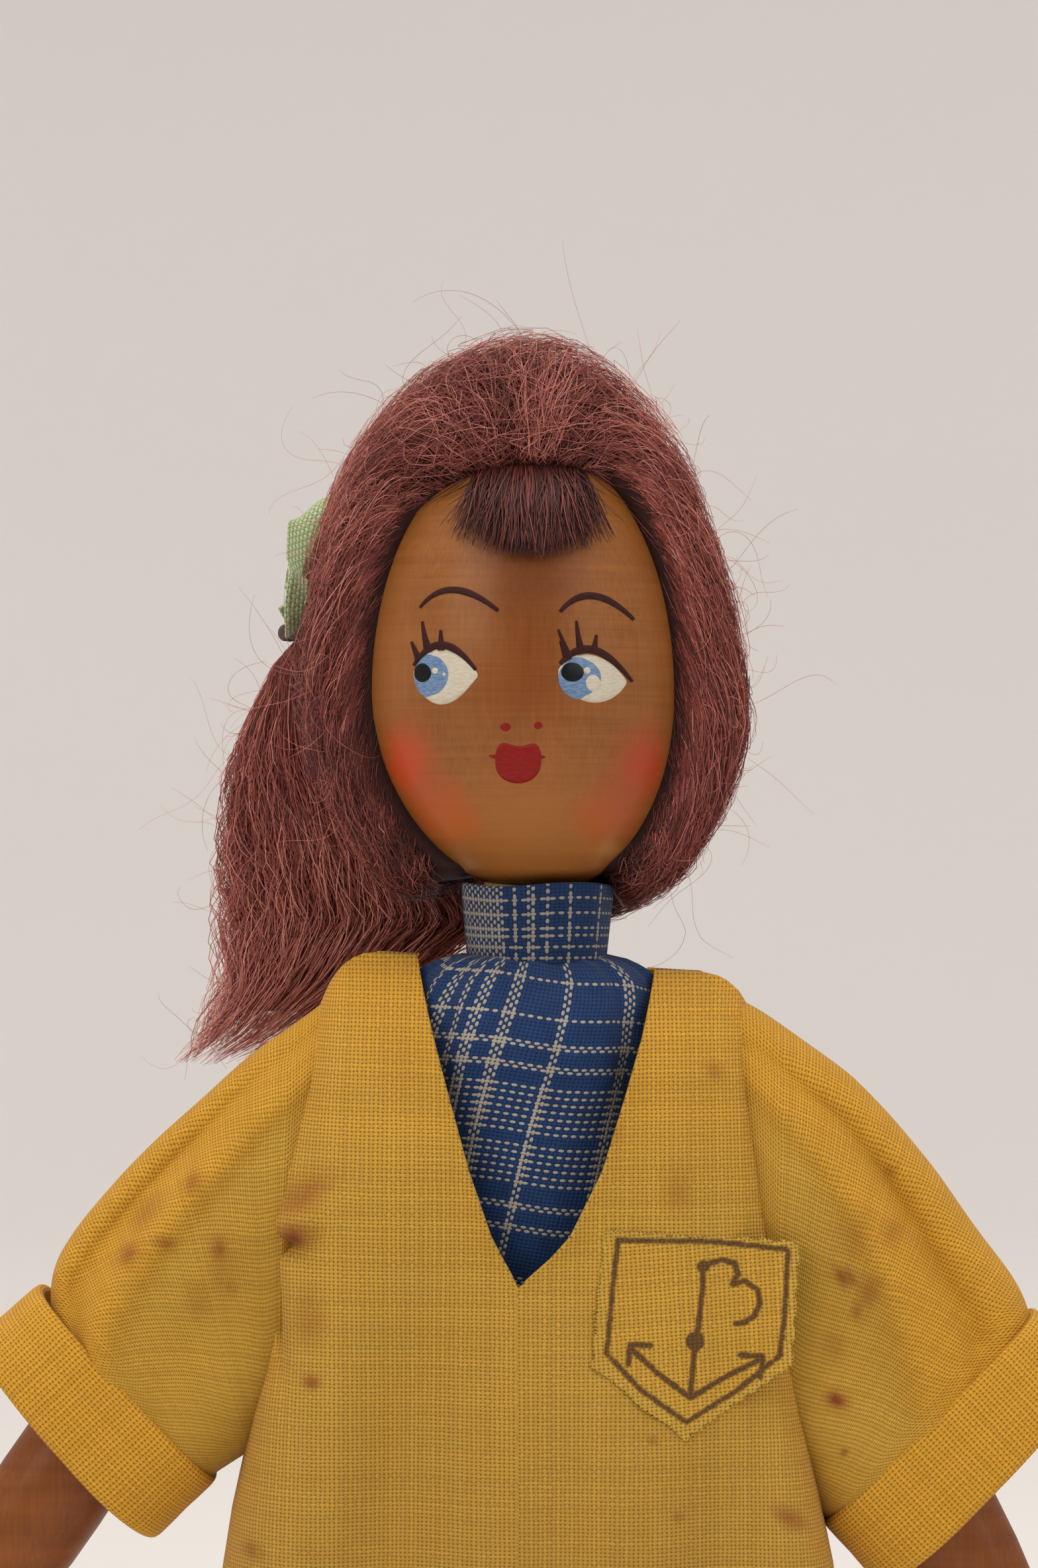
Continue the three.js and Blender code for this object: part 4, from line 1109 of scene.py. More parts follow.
for side, sign in SIDES.items():
    upper, lower = (softened(evenly(line, 130), 30) for line in SLEEVE_LINES[side])
    middle, half = (upper + lower) / 2, (upper - lower) / 2
    long_way = np.hypot(*half.T)[:, None]
    angle = np.linspace(0, 2 * np.pi, 220, endpoint=False)
    along = np.linspace(0, 1, 130)[:, None]
    power = 2.7 - 0.5 * (1 - along) ** 4
    rounded = lambda v: np.sign(v) * np.abs(v) ** (2 / power)
    high, near = rounded(np.cos(angle)), rounded(np.sin(angle))
    deep = 9.2 + (CUFF_DEPTH[side] - 9.2) * along
    # Narrower in depth towards the shoulder ridge and where the cloth sags from it.
    deep = deep * (0.62 + 0.38 * np.clip(along * 5, 0, 1) ** 0.7)
    front_y = near * deep
    below_top = (1 - high) * long_way
    front_side = np.clip(-near * 1.4, 0, 1)
    # The valley and ridge of the long crease, at their distances below the upper edge.
    open_out = np.clip(along * 1.8, 0, 1) * np.clip((1.03 - along) * 9, 0, 1)
    valley, ridge = {
        "right": (2.2 + 1.6 * along, 6.0 + 2.4 * along), "left": (3.6 + 3.2 * along, 6.6 + 8.2 * along)
    }[side]
    crease = 2.1 * np.exp(-(((below_top - valley) / (1.1 + 1.2 * along)) ** 2))
    crest = -1.4 * np.exp(-(((below_top - ridge) / (1.3 + 1.3 * along)) ** 2))
    front_y = front_y + open_out * front_side * (crease + crest)
    sag = 0.8 * np.sin(below_top / 3.6 + 4 * along) * np.clip((below_top - 10) / 8, 0, 1)
    front_y = front_y + front_side * sag * open_out
    back_side = np.clip(near * 1.4, 0, 1)
    front_y = front_y + back_side * open_out * 0.9 * np.sin(below_top / 3.1 + 5 * along)
    x = middle[:, :1] + half[:, :1] * high
    z = middle[:, 1:] + half[:, 1:] * high
    grid = np.stack([x, front_y, z], 2)
    # Cloth place: along the sleeve, and round it from its upper edge.
    whole = np.concatenate([grid, grid[:, :1]], 1)
    round_mm = np.cumsum(
        np.concatenate([np.zeros((130, 1)), np.linalg.norm(np.diff(whole, axis=1), axis=2)], 1), 1
    )
    to_cuff = 47.0 * (along - 0.5) + 0 * round_mm
    cloth = np.stack([round_mm, to_cuff], 2)
    sleeve = surface(f"{side}_sleeve_draped", grid, sleeve_cloth, around=True, uv=cloth, flip=sign < 0)
    spots = stain_and_shade_at(x, z, SLEEVE_STAINS[side]) * (near < 0)
    give(sleeve, "stain_and_shade", spots)
    # Paler on the front below the crease's ridge; the deeper orange strip left above it is painted shade.
    pale = np.clip((below_top - ridge + 1.5) / 5.0, 0, 1) * np.clip(0.6 - 2 * near, 0, 1)
    give(sleeve, "wear_and_shade", pale * 0.7)
    thicken = sleeve.modifiers.new("cloth_thickness", "SOLIDIFY")
    thicken.thickness, thicken.offset = 0.00035, -1
    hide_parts(f"{side}_sleeve")
    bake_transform(sleeve)

# ---------------------------------------------------------------- cuffs
# The end of each sleeve turned back on itself in a crisp band about 9 mm deep, deeper orange than
# the rest and creased sharp at both edges.
cuff_cloth = ochre_cotton("ochre_cuff_cotton", 0.45, 0.39)[0]
# Each cuff: the two ends of its upper edge, its slope in degrees below level, and its depth.
CUFF_LINES = {
    "left": ((51.7, 102.4), (30.4, 81.3), 46.2, 9.4),
    "right": ((-48.9, 104.8), (-31.1, 85.6), 42.2, 9.3),
}
# The band's section: how far down the cuff and how far out of the sleeve, all the way round.
CUFF_SECTION = np.array(
    [
        (0.9, -0.25), (0.4, -0.1), (0.1, 0.2), (0.0, 0.55), (0.08, 0.9), (0.35, 1.12), (0.9, 1.2),
        (2.4, 1.18), (4.4, 1.1), (6.4, 1.14), (8.2, 1.12), (8.9, 0.95), (9.2, 0.6), (9.28, 0.2),
        (9.15, -0.15), (8.8, -0.35), (7.5, -0.4), (5.0, -0.4), (2.4, -0.35),
    ]
)
for side, sign in SIDES.items():
    top, bottom, lean, tall = CUFF_LINES[side]
    top, bottom = np.array(top), np.array(bottom)
    heading = np.array([sign * np.cos(lean * RADIANS), -np.sin(lean * RADIANS)])
    middle, half = (top + bottom) / 2, (top - bottom) / 2
    half_long = np.hypot(*half)
    unit = half / half_long
    angle = np.linspace(0, 2 * np.pi, 240, endpoint=False)
    rounded = lambda v: np.sign(v) * np.abs(v) ** (2 / 2.9)
    section = evenly(np.vstack([CUFF_SECTION, CUFF_SECTION[:1]]), 72)[:-1]
    down, out = section[:, :1] * tall / 9.3, section[:, 1:]
    # The lower edge wavers and the band flares a little towards it.
    flare = 0.5 * (down / 9.3) * (0.4 + np.sin(2 * angle + 0.7) * 0.5)
    waver = 0.25 * np.sin(3 * angle + 1.0) * (down / 9.3) ** 2
    wide = half_long - 0.9 + out + flare
    deep = CUFF_DEPTH[side] - 0.2 + out + flare + 0.35 * np.sin(2.4 * angle + down / 5)
    x = middle[0] + unit[0] * wide * rounded(np.cos(angle)) + heading[0] * (down + waver)
    z = middle[1] + unit[1] * wide * rounded(np.cos(angle)) + heading[1] * (down + waver)
    y = deep * rounded(np.sin(angle))
    grid = np.stack([x, y, z], 2)
    grid = np.concatenate([grid, grid[:1]], 0)
    ring = np.concatenate([grid, grid[:, :1]], 1)
    round_mm = np.cumsum(
        np.concatenate([np.zeros((1, 1)), np.linalg.norm(np.diff(ring[:1], axis=1), axis=2)], 1), 1
    )
    run = np.concatenate([[0], np.cumsum(np.hypot(*np.diff(np.vstack([section, section[:1]]), axis=0).T))])
    cloth = np.stack([round_mm + 0 * run[:, None], run[:, None] + 0 * round_mm], 2)
    cuff = surface(f"{side}_cuff_turned_back", grid, cuff_cloth, around=True, uv=cloth, flip=sign < 0)
    weld = cuff.modifiers.new("joined_seam", "WELD")
    weld.merge_threshold = 0.000001
    give(cuff, "stain_and_shade", np.zeros(grid.shape[:2]))
    give(cuff, "wear_and_shade", np.full(grid.shape[:2], -0.15))
    fit(cuff, f"{side}_arm", "yellow_cotton", f"{side}_cuff")

# ---------------------------------------------------------------- smock pocket
# A shield-shaped patch of the same cotton, cut raw and frayed, sewn flat on the doll's left
# breast. An anchor inside a border is drawn on it in brown ink that has bled into the threads.
OUTLINE = np.array([(8.0, 111.5), (27.6, 110.0), (26.8, 97.8), (16.1, 90.6), (6.8, 98.1)])
INK = (
    [
        (9.4, 110.5), (17.9, 110.3), (26.4, 109.3), (26.1, 103.2), (25.6, 98.8), (21.1, 95.2), (16.2, 92.4),
        (11.6, 95.8), (8.3, 99.3), (8.8, 105.0), (9.4, 110.5)
    ],
    [(17.9, 108.0), (17.8, 105.2), (17.4, 101.8), (16.9, 98.5), (16.6, 94.8)],
    [(16.6, 94.8), (13.4, 97.3), (10.6, 99.9)],
    [(16.6, 94.8), (20.1, 96.7), (23.8, 98.5)],
    [(10.4, 98.3), (10.6, 100.2), (12.6, 100.1)],
    [(21.6, 98.9), (23.9, 98.7), (23.6, 96.7)],
    [
        (18.4, 108.0), (19.8, 108.4), (21.1, 108.0), (21.4, 106.9), (20.8, 105.9), (22.1, 106.2),
        (23.3, 105.4), (23.6, 104.1), (23.1, 102.8), (22.1, 102.1), (21.2, 102.0)
    ],
)
DOTS = ((17.9, 107.8, 0.75), (17.1, 100.4, 1.1))
fine_x, fine_z = np.meshgrid(np.arange(6.0, 28.6, 0.16), np.arange(89.6, 112.4, 0.16))
after = np.roll(OUTLINE, -1, axis=0)
edge = after - OUTLINE
inward = np.stack([edge[:, 1], -edge[:, 0]], 1) / np.hypot(*edge.T)[:, None]
inside = np.min([(fine_x - a[0]) * n[0] + (fine_z - a[1]) * n[1] for a, n in zip(OUTLINE, inward)], axis=0)
frayed = 0.16 * np.sin(fine_x * 14.0) * np.sin(fine_z * 16.1) + 0.12 * np.sin(fine_x * 3.1 + fine_z * 2.3)
lift = 0.42 + 0.25 * np.exp(-inside / 1.2) * (0.6 + 0.5 * np.sin(fine_x / 1.7) * np.sin(fine_z / 2.1))
# Past the front's turned edge the patch stands free, over the sleeve.
patch_y = smock_front(np.minimum(fine_x, 21.0), fine_z) - lift + 0.06 * np.clip(fine_x - 21, 0, None) ** 1.3
tilt_z = fine_z - 0.062 * (fine_x + 10.5) * np.clip((fine_z - 126) / 11, 0, 1)
pocket_points = np.stack([fine_x, patch_y, tilt_z], 2)
ink = np.zeros(fine_x.shape)
for stroke in INK:
    path = evenly(stroke, 160)
    gap = np.min([np.hypot(fine_x - px, fine_z - pz) for px, pz in path], axis=0)
    ink = np.maximum(ink, np.clip(1 - (gap - 0.12) / 0.42, 0, 1))
for px, pz, r in DOTS:
    gap = np.hypot(fine_x - px, fine_z - pz)
    ink = np.maximum(ink, np.clip(1 - (gap - r + 0.3) / 0.4, 0, 1))
index = np.arange(fine_x.size).reshape(fine_x.shape)
kept = middle_of(inside + frayed) > 0
used, quads = np.unique(corners(index)[kept], return_inverse=True)
cloth = np.stack([fine_x + 0.05 * fine_z, fine_z - 0.07 * fine_x], 2)
quad_uv = corners(cloth)[kept]
pocket_cloth, _, pocket_dye = ochre_cotton("ochre_pocket_cotton", 0.46, 0.38)
inked = add_node(pocket_cloth, "Attribute", attribute_name="ink").outputs["Fac"]
place = add_node(pocket_cloth, "TexCoord").outputs["Object"]
bleed = add_node(pocket_cloth, "TexNoise", {0: place, "Scale": 1700.0, "Detail": 2.0})
broken = add_node(pocket_cloth, "Math", {0: bleed.outputs[0], 1: -0.75, 2: inked}, operation="MULTIPLY_ADD")
drawn = add_node(pocket_cloth, "MapRange", {0: broken.outputs[0], 1: -0.08, 2: 0.46, 4: 0.92})
marked = add_node(
    pocket_cloth,
    "Mix",
    {0: drawn.outputs[0], 6: pocket_dye.outputs[2], 7: linear("#3e2c23")},
    data_type="RGBA",
)
woven_gap = next(
    n for n in pocket_cloth.node_tree.nodes if n.type == "MIX" and n.inputs[
        7
    ].links and n.inputs[7].links[0].from_node == pocket_dye
)
pocket_cloth.node_tree.links.new(marked.outputs[2], woven_gap.inputs[7])
pocket = build(
    "smock_pocket_patch",
    pocket_points.reshape(-1, 3)[used],
    [quads.reshape(-1, 4)],
    pocket_cloth,
    quad_uv.reshape(-1, 2),
)
give(pocket, "ink", ink.ravel()[used])
give(pocket, "stain_and_shade", np.zeros(len(used)))
give(pocket, "wear_and_shade", (0.6 + 0.9 * np.exp(-np.abs(inside) / 0.5)).ravel()[used])
thicken = pocket.modifiers.new("cloth_thickness", "SOLIDIFY")
thicken.thickness, thicken.offset = 0.0003, -1
fit(pocket, "torso", "yellow_cotton", "smock_pocket")

# ---------------------------------------------------------------- wig
# Crimped mohair in faded plum red, glued to the head in lengths. It is rolled up off the brow in a
# pompadour, brushed round both sides and gathered at the back of the doll's right side.
rng = np.random.default_rng(7)
# Lit and shaded copies of one plum mohair, from painted shade deep in the hair to painted highlight on
# raised hairs.
HAIR_LIT_AND_SHADED_TONES = []
for name, colour in (
    ("deepest", "#3a1412"),
    ("deep", "#5d2824"),
    ("middle", "#834038"),
    ("light", "#a65a50"),
    ("lightest", "#cd8478"),
):
    HAIR_LIT_AND_SHADED_TONES.append(new_material(f"plum_mohair_{name}", Base_Color=linear(colour), Roughness=0.5)[0])
# A darker sheet under the strands and inside the tail: painted shade in the depths of the hair.
shade_under_hair = new_material("plum_mohair_painted_shade_under", Base_Color=linear("#290a08"), Roughness=0.9)[0]
CROWN = np.array([0.5, 0.0, 166.0])
# The hairline round the face, then the roll's outline, clockwise from the doll's right jaw as
# seen from in front; each with its depth, nought where the hair lies on the front of the head.
HAIRLINE = np.array(
    [
        (-6.2, 0, 146.2), (-8.7, 0, 147.4), (-12.3, 0, 151.7), (-14.8, 0, 156.7), (-15.7, 0, 162.4),
        (-15.3, 0, 169.6), (-14.4, 0, 176), (-13, 0, 180.3), (-10.5, 0, 183.9), (-6.6, 0, 186.5),
        (-3, 0, 187.4), (0, 0, 187.8), (5, 0, 187.6), (9.4, 0, 186.6), (11.6, 0, 184.6),
        (12.9, 0, 181.7), (14.5, 0, 176.7), (15.2, 0, 169.6), (15.6, 0, 162.4), (14.5, 0, 155.3),
        (12, 0, 149.7), (8.8, 0, 147), (4, 8.3, 150),
        (0.5, 9, 150.5), (-3, 8.4, 150),
    ]
)
OUTLINE_OF_HAIR = np.array(
    [
        (-11.3, 3, 144.4), (-14.7, 1.5, 148), (-18.7, 1, 154.7), (-21, 0.5, 162.7), (-21, 0.5, 170.7),
        (-18.9, 0.5, 180.7), (-16.2, 0.5, 188), (-11.6, 1, 194.7), (-7, 1.5, 198.4), (-1.5, 2, 200.6),
        (3.6, 2, 200.4), (8.0, 1.5, 198.2), (12.6, 1, 193.2), (16.4, 0.5, 186.9), (19.5, 0.5, 177.3),
        (21.5, 0.5, 168), (22.1, 0.5, 161.3), (19.3, 1, 153.3), (15.3, 2, 146.9), (10, 4, 143.6),
        (5, 9, 145), (0.5, 11, 146), (-6, 9, 145),
    ]
)
TIE = np.array([-21.3, 12.6, 171.7])
tie_low, tie_high = (np.array(c) - doll_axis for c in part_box("ponytail_tie"))
TIE[:] = (tie_low + tie_high) * 500


def round_face(points, angle):
    """Points about the crown's middle read off at angles clockwise from the top."""
    own = np.arctan2(points[:, 0] - CROWN[0], points[:, 2] - CROWN[2])
    return np.stack([np.interp(angle, own, points[:, i], period=2 * np.pi) for i in range(3)], -1)


def smooth_ring(values, passes):
    """A closed ring of values averaged with their neighbours some passes over."""
    for _ in range(passes):
        values = (np.roll(values, 1, 0) + 2 * values + np.roll(values, -1, 0)) / 4
    return values


AROUND, ACROSS = 360, 90
ring_angle = np.linspace(-np.pi, np.pi, AROUND, endpoint=False)
start_line = smooth_ring(round_face(HAIRLINE, ring_angle), 14)
out_line = smooth_ring(round_face(OUTLINE_OF_HAIR, ring_angle), 14)
r_here = head_radius(np.clip(start_line[:, 2], HEAD_BASE + 1, HEAD_TOP - 0.3))
front_y = -np.sqrt(np.clip(r_here**2 - start_line[:, 0] ** 2, 12.0, None)) + 0.4
at_nape = np.clip(start_line[:, 1] / 8, 0, 1)[:, None]
start_line[:, 1] = np.where(
    at_nape[:, 0] > 0.02, start_line[:, 1] * at_nape[:, 0] + front_y * (1 - at_nape[:, 0]), front_y
)
radial = out_line - start_line
radial[:, 1] = 0
radial /= np.linalg.norm(radial, axis=1)[:, None]
over_brow = np.exp(-((ring_angle / 0.75) ** 2))[:, None]
handle_1 = start_line + radial * (
    1.6 - 2.4 * over_brow
) + np.array([0, -1.0, 0]) * (2.6 + 2.2 * over_brow) * (1 - at_nape)
handle_2 = out_line + np.array([0, -1.0, 0]) * (5.0 + 3.4 * over_brow) * (1 - at_nape) + radial * 0.4
t = np.linspace(0, 1, 50)[:, None, None]
front_part = (
    1 - t
) ** 3 * start_line + 3 * t * (1 - t) ** 2 * handle_1 + 3 * t**2 * (1 - t) * handle_2 + t**3 * out_line
# Behind the outline each line sweeps round the back of an ellipsoid to the tie.
reach = np.array([21.5, 19.0, 28.0])
from_q, to_q = (out_line - CROWN) / reach, (TIE - CROWN) / reach
from_r, to_r = np.linalg.norm(from_q, axis=1)[:, None], np.linalg.norm(to_q)
from_u, to_u = from_q / from_r, to_q / to_r
sweep_angle = np.arccos(np.clip(from_u @ to_u, -1, 1))[:, None]
t = np.linspace(0, 1, ACROSS - 49)[1:, None, None]
turned = (np.sin((1 - t) * sweep_angle) * from_u + np.sin(t * sweep_angle) * to_u) / np.sin(sweep_angle)
back_part = CROWN + turned * (from_r * (1 - t) + to_r * t) * reach
roll = np.concatenate([front_part, back_part], 0)
roll = np.concatenate([roll[:1], (roll[:-2] + 2 * roll[1:-1] + roll[2:]) / 4, roll[-1:]])


def hair_at(angle, share, lift=0.0):
    """The wig's surface at an angle round the face and a share of the way from the hairline to
    the tie, raised by lift millimetres away from the middle of the head."""
    column = ((angle + np.pi) / (2 * np.pi) * AROUND) % AROUND
    row = np.clip(share, 0, 0.9999) * (len(roll) - 1)
    c0, r0 = np.floor(column).astype(int) % AROUND, np.floor(row).astype(int)
    c1, r1 = (c0 + 1) % AROUND, np.minimum(r0 + 1, len(roll) - 1)
    fc, fr = (column - np.floor(column))[..., None], (row - r0)[..., None]
    point = (
        roll[r0, c0] * (1 - fc) + roll[r0, c1] * fc
    ) * (1 - fr) + (roll[r1, c0] * (1 - fc) + roll[r1, c1] * fc) * fr
    away = (point - CROWN) / reach**2
    away /= np.linalg.norm(away, axis=-1)[..., None]
    return point + away * np.asarray(lift)[..., None]


def strands(name, paths, radius, tones, materials=HAIR_LIT_AND_SHADED_TONES):
    """Three-sided closed tubes along (n, k, 3) paths, tapering to their ends. Each strand takes
    one of the materials by its tone number."""
    count, steps = paths.shape[:2]
    along = np.gradient(paths, axis=1)
    along /= np.linalg.norm(along, axis=2)[..., None] + 1e-9
    aside = np.cross(along, np.array([0.31, -0.87, 0.38]))
    aside /= np.linalg.norm(aside, axis=2)[..., None] + 1e-9
    third = np.cross(along, aside)
    taper = np.sin(np.linspace(0.12, 0.93, steps) * np.pi) ** 0.5
    size = (np.asarray(radius).reshape(-1, 1) * taper)[..., None]
    rings = [paths + size * (aside * np.cos(a) + third * np.sin(a)) for a in np.arange(3) * 2 * np.pi / 3]
    points = np.stack(rings, 2)
    index = np.arange(count * steps * 3).reshape(count, steps, 3)
    nxt = np.roll(index, -1, axis=2)
    quads = np.stack([index[:, :-1], nxt[:, :-1], nxt[:, 1:], index[:, 1:]], -1).reshape(-1, 4)
    caps = np.concatenate([index[:, 0, ::-1], index[:, -1]])
    piece = build(name, points.reshape(-1, 3), [quads, caps], materials[0])
    for material in materials[1:]:
        piece.data.materials.append(material)
    tones = np.asarray(tones).astype(np.int32)
    per_face = np.concatenate([np.repeat(tones, (steps - 1) * 3), tones, tones])
    piece.data.polygons.foreach_set("material_index", per_face)
    return piece


def tone_of(lift, spread, rng, paler=0.0):
    """Deep strands take the dark tones, painted shade, and raised ones the light tones, painted light, with
    some scatter.
    """
    value = 0.9 + 2.4 * (lift - lift.min()) / (np.ptp(lift) + 1e-9) + rng.normal(
        0, spread, len(lift)
    ) + paler
    return np.clip(np.round(value), 0, len(HAIR_LIT_AND_SHADED_TONES) - 1)


base = surface(
    "wig_base",
    np.transpose(hair_at(*np.meshgrid(ring_angle, np.linspace(0, 1, 80)), lift=-1.5), (0, 1, 2)),
    shade_under_hair, around=True
)
fit(base, "head", "mohair", "wig_crown", "left_side_hair", "right_side_hair")
for name, count, first, span, lifts, wave in (
    ("pompadour_and_sides_deep", 2900, (0.0, 0.30), (0.22, 0.5), (-1.3, 0.3), 0.03),
    ("pompadour_and_sides_over", 2900, (0.0, 0.36), (0.18, 0.42), (-0.8, 0.8), 0.045),
    ("pompadour_and_sides_frizz", 2600, (0.02, 0.42), (0.08, 0.34), (-0.2, 1.3), 0.1),
    ("back_of_wig", 2900, (0.38, 0.75), (0.25, 0.6), (-1.2, 0.5), 0.04),
    ("back_of_wig_frizz", 1600, (0.4, 0.8), (0.1, 0.4), (-0.1, 1.2), 0.1),
):
    angle = rng.uniform(-2.62, 2.62, count) if "back" not in name else rng.uniform(-np.pi, np.pi, count)
    share = rng.uniform(*first, count)
    length = rng.uniform(*span, count)
    lift = rng.uniform(*lifts, count)
    step = np.linspace(0, 1, 11)
    # Hairs lie in locks: neighbours share a height and a tone.
    lock = np.sin(19 * angle + 5 * share) + 0.7 * np.sin(31 * angle - 9 * share + 1.3)
    lift = lift + 0.28 * lock
    drift = np.where(angle > 0, 1.15, -0.75) * np.sin(
        np.clip(np.abs(angle) * 1.15, 0, np.pi)
    ) * length / 0.35
    if "back" in name:
        drift = drift * 0.25
    bend = angle[:, None] + drift[:, None] * step**1.15
    bend = bend + rng.normal(0, wave, count)[:, None] * np.sin(
        step * rng.uniform(3, 9, count)[:, None] + rng.uniform(0, 6, count)[:, None]
    )
    bend = np.clip(bend, -2.75, 2.75) if "back" not in name else bend
    rise = lift[:, None] + (0.22 + 2 * wave) * np.sin(
        step * rng.uniform(4, 14, count)[:, None] + rng.uniform(0, 6, count)[:, None]
    )
    paths = hair_at(bend, share[:, None] + length[:, None] * step, rise)
    # The tone rises over the pompadour's top, painted light, falls down the doll's right side, and shifts
    # with each lock.
    paler = 1.1 * np.exp(-((angle / 0.95) ** 2)) - 0.75 - 0.6 * np.clip(-angle - 0.9, 0, 1) + 0.35 * lock
    fine = 0.62 if "frizz" in name else 1.0
    piece = strands(name, paths, rng.uniform(0.04, 0.065, count) * fine, tone_of(lift, 0.8, rng, paler))
    fit(piece, "head", "mohair")

# ---------------------------------------------------------------- fringe
# A short fan of the same mohair, let down on the brow from the crease under the pompadour.
count = 900
root_x = np.clip(rng.normal(0.8, 2.7, count), -4.6, 6.2)
wisp = rng.uniform(0, 1, count) < 0.12
spread_x = 0.8 + (root_x - 0.8) * np.where(wisp, 2.3, 1.35) + rng.normal(0, 1.1, count)
step = np.linspace(0, 1, 11)
tip_z = 178.0 + 0.03 * (spread_x - 1.0) ** 2 + rng.gamma(1.4, 1.1, count) + 1.2 * wisp
fringe_x = root_x[:, None] + (spread_x - root_x)[:, None] * step**1.4
fringe_z = 188.0 + (tip_z[:, None] - 188.0) * step
lift = rng.uniform(0.2, 1.5, count)
fringe_lift = 0.15 + lift[:, None] * np.sin(np.clip(step * 1.25, 0, 1) * np.pi * 0.78) + 0.3 * step
fringe_y = head_front(fringe_x, np.clip(fringe_z, None, HEAD_TOP - 0.4)) - fringe_lift
fringe_x = fringe_x + 0.15 * np.sin(step * 7 + rng.uniform(0, 6, count)[:, None])
# The fringe takes the darkest tones: painted shade under the pompadour's roll.
fringe = strands(
    "fringe_fan",
    np.stack([fringe_x, fringe_y, fringe_z], 2),
    rng.uniform(0.04, 0.07, count),
    tone_of(lift, 0.7, rng, -2.3),
)
fit(fringe, "head", "mohair", "fringe")

# ---------------------------------------------------------------- pony-tail and flyaway hairs
# The rest of the mohair falls from the tie in a crimped, frizzy tail behind the doll's right
# shoulder. Single loose hairs curl off it and off the wig.
TAIL_KNOTS = [0, 0.08, 0.3, 0.5, 0.7, 0.85, 1.0, 1.16]
TAIL_MIDDLE = [
    (-21.3, 12.6, 171.7), (-22.6, 14.6, 168.0), (-20.9, 17.3, 158), (-18.0, 18.2, 149),
    (-16.9, 18.4, 141.5), (-21.4, 17.2, 135), (-27.6, 15.6, 129.6), (-32.6, 15.0, 126.4),
]
TAIL_HALF = [
    (1.3, 1.3), (3.2, 2.8), (8.6, 4.6), (11.8, 5.2), (12.9, 4.6), (9.0, 3.4), (6.0, 2.4), (3.4, 1.6),
]
tail_middle = np.array(TAIL_MIDDLE)
tail_middle[0] = TIE


def tail_at(share, u, v):
    """A place in the tail: how far down it, and where across and in depth, each from -1 to 1."""
    along = [np.interp(share, TAIL_KNOTS, column) for column in tail_middle.T]
    wide, deep = (np.interp(share, TAIL_KNOTS, column) for column in np.array(TAIL_HALF).T)
    return np.stack([along[0] + u * wide, along[1] + v * deep, along[2] + 0 * u], -1)


around_tail, down_tail = np.meshgrid(
    np.linspace(0, 2 * np.pi, 60, endpoint=False), np.linspace(0.02, 0.93, 40)
)
core = surface(
    "ponytail_core",
    tail_at(down_tail, 0.72 * np.cos(around_tail), 0.72 * np.sin(around_tail))[::-1],
    shade_under_hair,
    around=True,
    ends=True,
)
fit(core, "head", "mohair", "ponytail")
for name, count, inner in (("ponytail_deep", 2500, 0.45), ("ponytail_over", 2650, 0.8)):
    out = rng.uniform(inner, 1.06, count) ** 0.6
    where = rng.uniform(0, 2 * np.pi, count)
    step = np.linspace(0, 1, 13)
    first = np.clip(rng.uniform(-0.4, 0.6, count), 0, 1)
    last = np.clip(first + rng.uniform(0.35, 0.8, count), 0, rng.uniform(0.8, 1.16, count))
    share = first[:, None] + (last - first)[:, None] * step
    swirl = where[:, None] + 0.9 * (share - 0.4) * rng.normal(0.4, 0.7, count)[:, None]
    crimp = 0.1 * np.sin(share * rng.uniform(14, 30, count)[:, None] + rng.uniform(0, 6, count)[:, None])
    stray = 0.13 * np.sin(share * rng.uniform(5, 12, count)[:, None] + rng.uniform(0, 6, count)[:, None])
    spread_out = out[:, None] + crimp + stray * np.clip(share * 2, 0, 1)
    paths = tail_at(share, spread_out * np.cos(swirl), spread_out * np.sin(swirl))
    paths[..., 1] = np.maximum(
        paths[..., 1], np.interp(paths[..., 2], [128, 138, 142, 150], [14.5, 12.5, 11.5, 4.0])
    )
    # Strands deep in the tail take the dark tones, painted shade; the tail pales towards its end.
    paler = 3.2 * (share.mean(1) - 0.3)
    piece = strands(
        name, paths, rng.uniform(0.035, 0.065, count), tone_of(
            out + rng.normal(0, 0.1, count), 0.8, rng, paler
        )
    )
    fit(piece, "head", "mohair")

count = 420
step = np.linspace(0, 1, 24)
start = np.concatenate(
    [
        hair_at(rng.uniform(-2.4, 2.5, 310), rng.uniform(0.2, 0.6, 310), rng.uniform(0, 0.6, 310)),
        tail_at(rng.uniform(0.15, 1.0, 110), np.full(110, -0.9), np.zeros(110)),
    ]
)
away = start - np.concatenate([np.tile(CROWN, (310, 1)), np.tile([-14, 14, 150], (110, 1))])
away /= np.linalg.norm(away, axis=1)[:, None]
aside = np.cross(away, rng.normal(0, 1, (count, 3)) * [0.4, 1, 0.4])
aside /= np.linalg.norm(aside, axis=1)[:, None]
third = np.cross(away, aside)
# Each hair leaves outwards and wanders: its heading drifts and swings as it goes.
heading = rng.uniform(-0.7, 0.7, count)[:, None] + rng.normal(0, 2.4, count)[:, None] * step
heading = heading + rng.uniform(0.2, 0.9, count)[:, None] * np.sin(
    step * rng.uniform(2, 7, count)[:, None] + rng.uniform(0, 6, count)[:, None]
)
pitch = (rng.gamma(2.4, 2.5, count).clip(1.5, 17) / 23)[:, None, None]
steps_out = away[:, None] * (
    0.75 * np.cos(heading)
)[..., None] + aside[:, None] * np.sin(heading)[..., None]
steps_out = steps_out + third[:, None] * (0.5 * np.sin(1.7 * heading + 1))[..., None]
loops = start[:, None] + np.cumsum(steps_out * pitch, axis=1) - steps_out[:, :1] * pitch
loops[..., 1] = np.where(loops[..., 2] < 140, np.maximum(loops[..., 1], 14), loops[..., 1])
# The loose hairs take only the two light tones: painted light on the fine hairs.
flyaways = strands("flyaway_hairs", loops, np.full(count, 0.022), rng.integers(3, 5, count))
fit(flyaways, "head", "mohair")

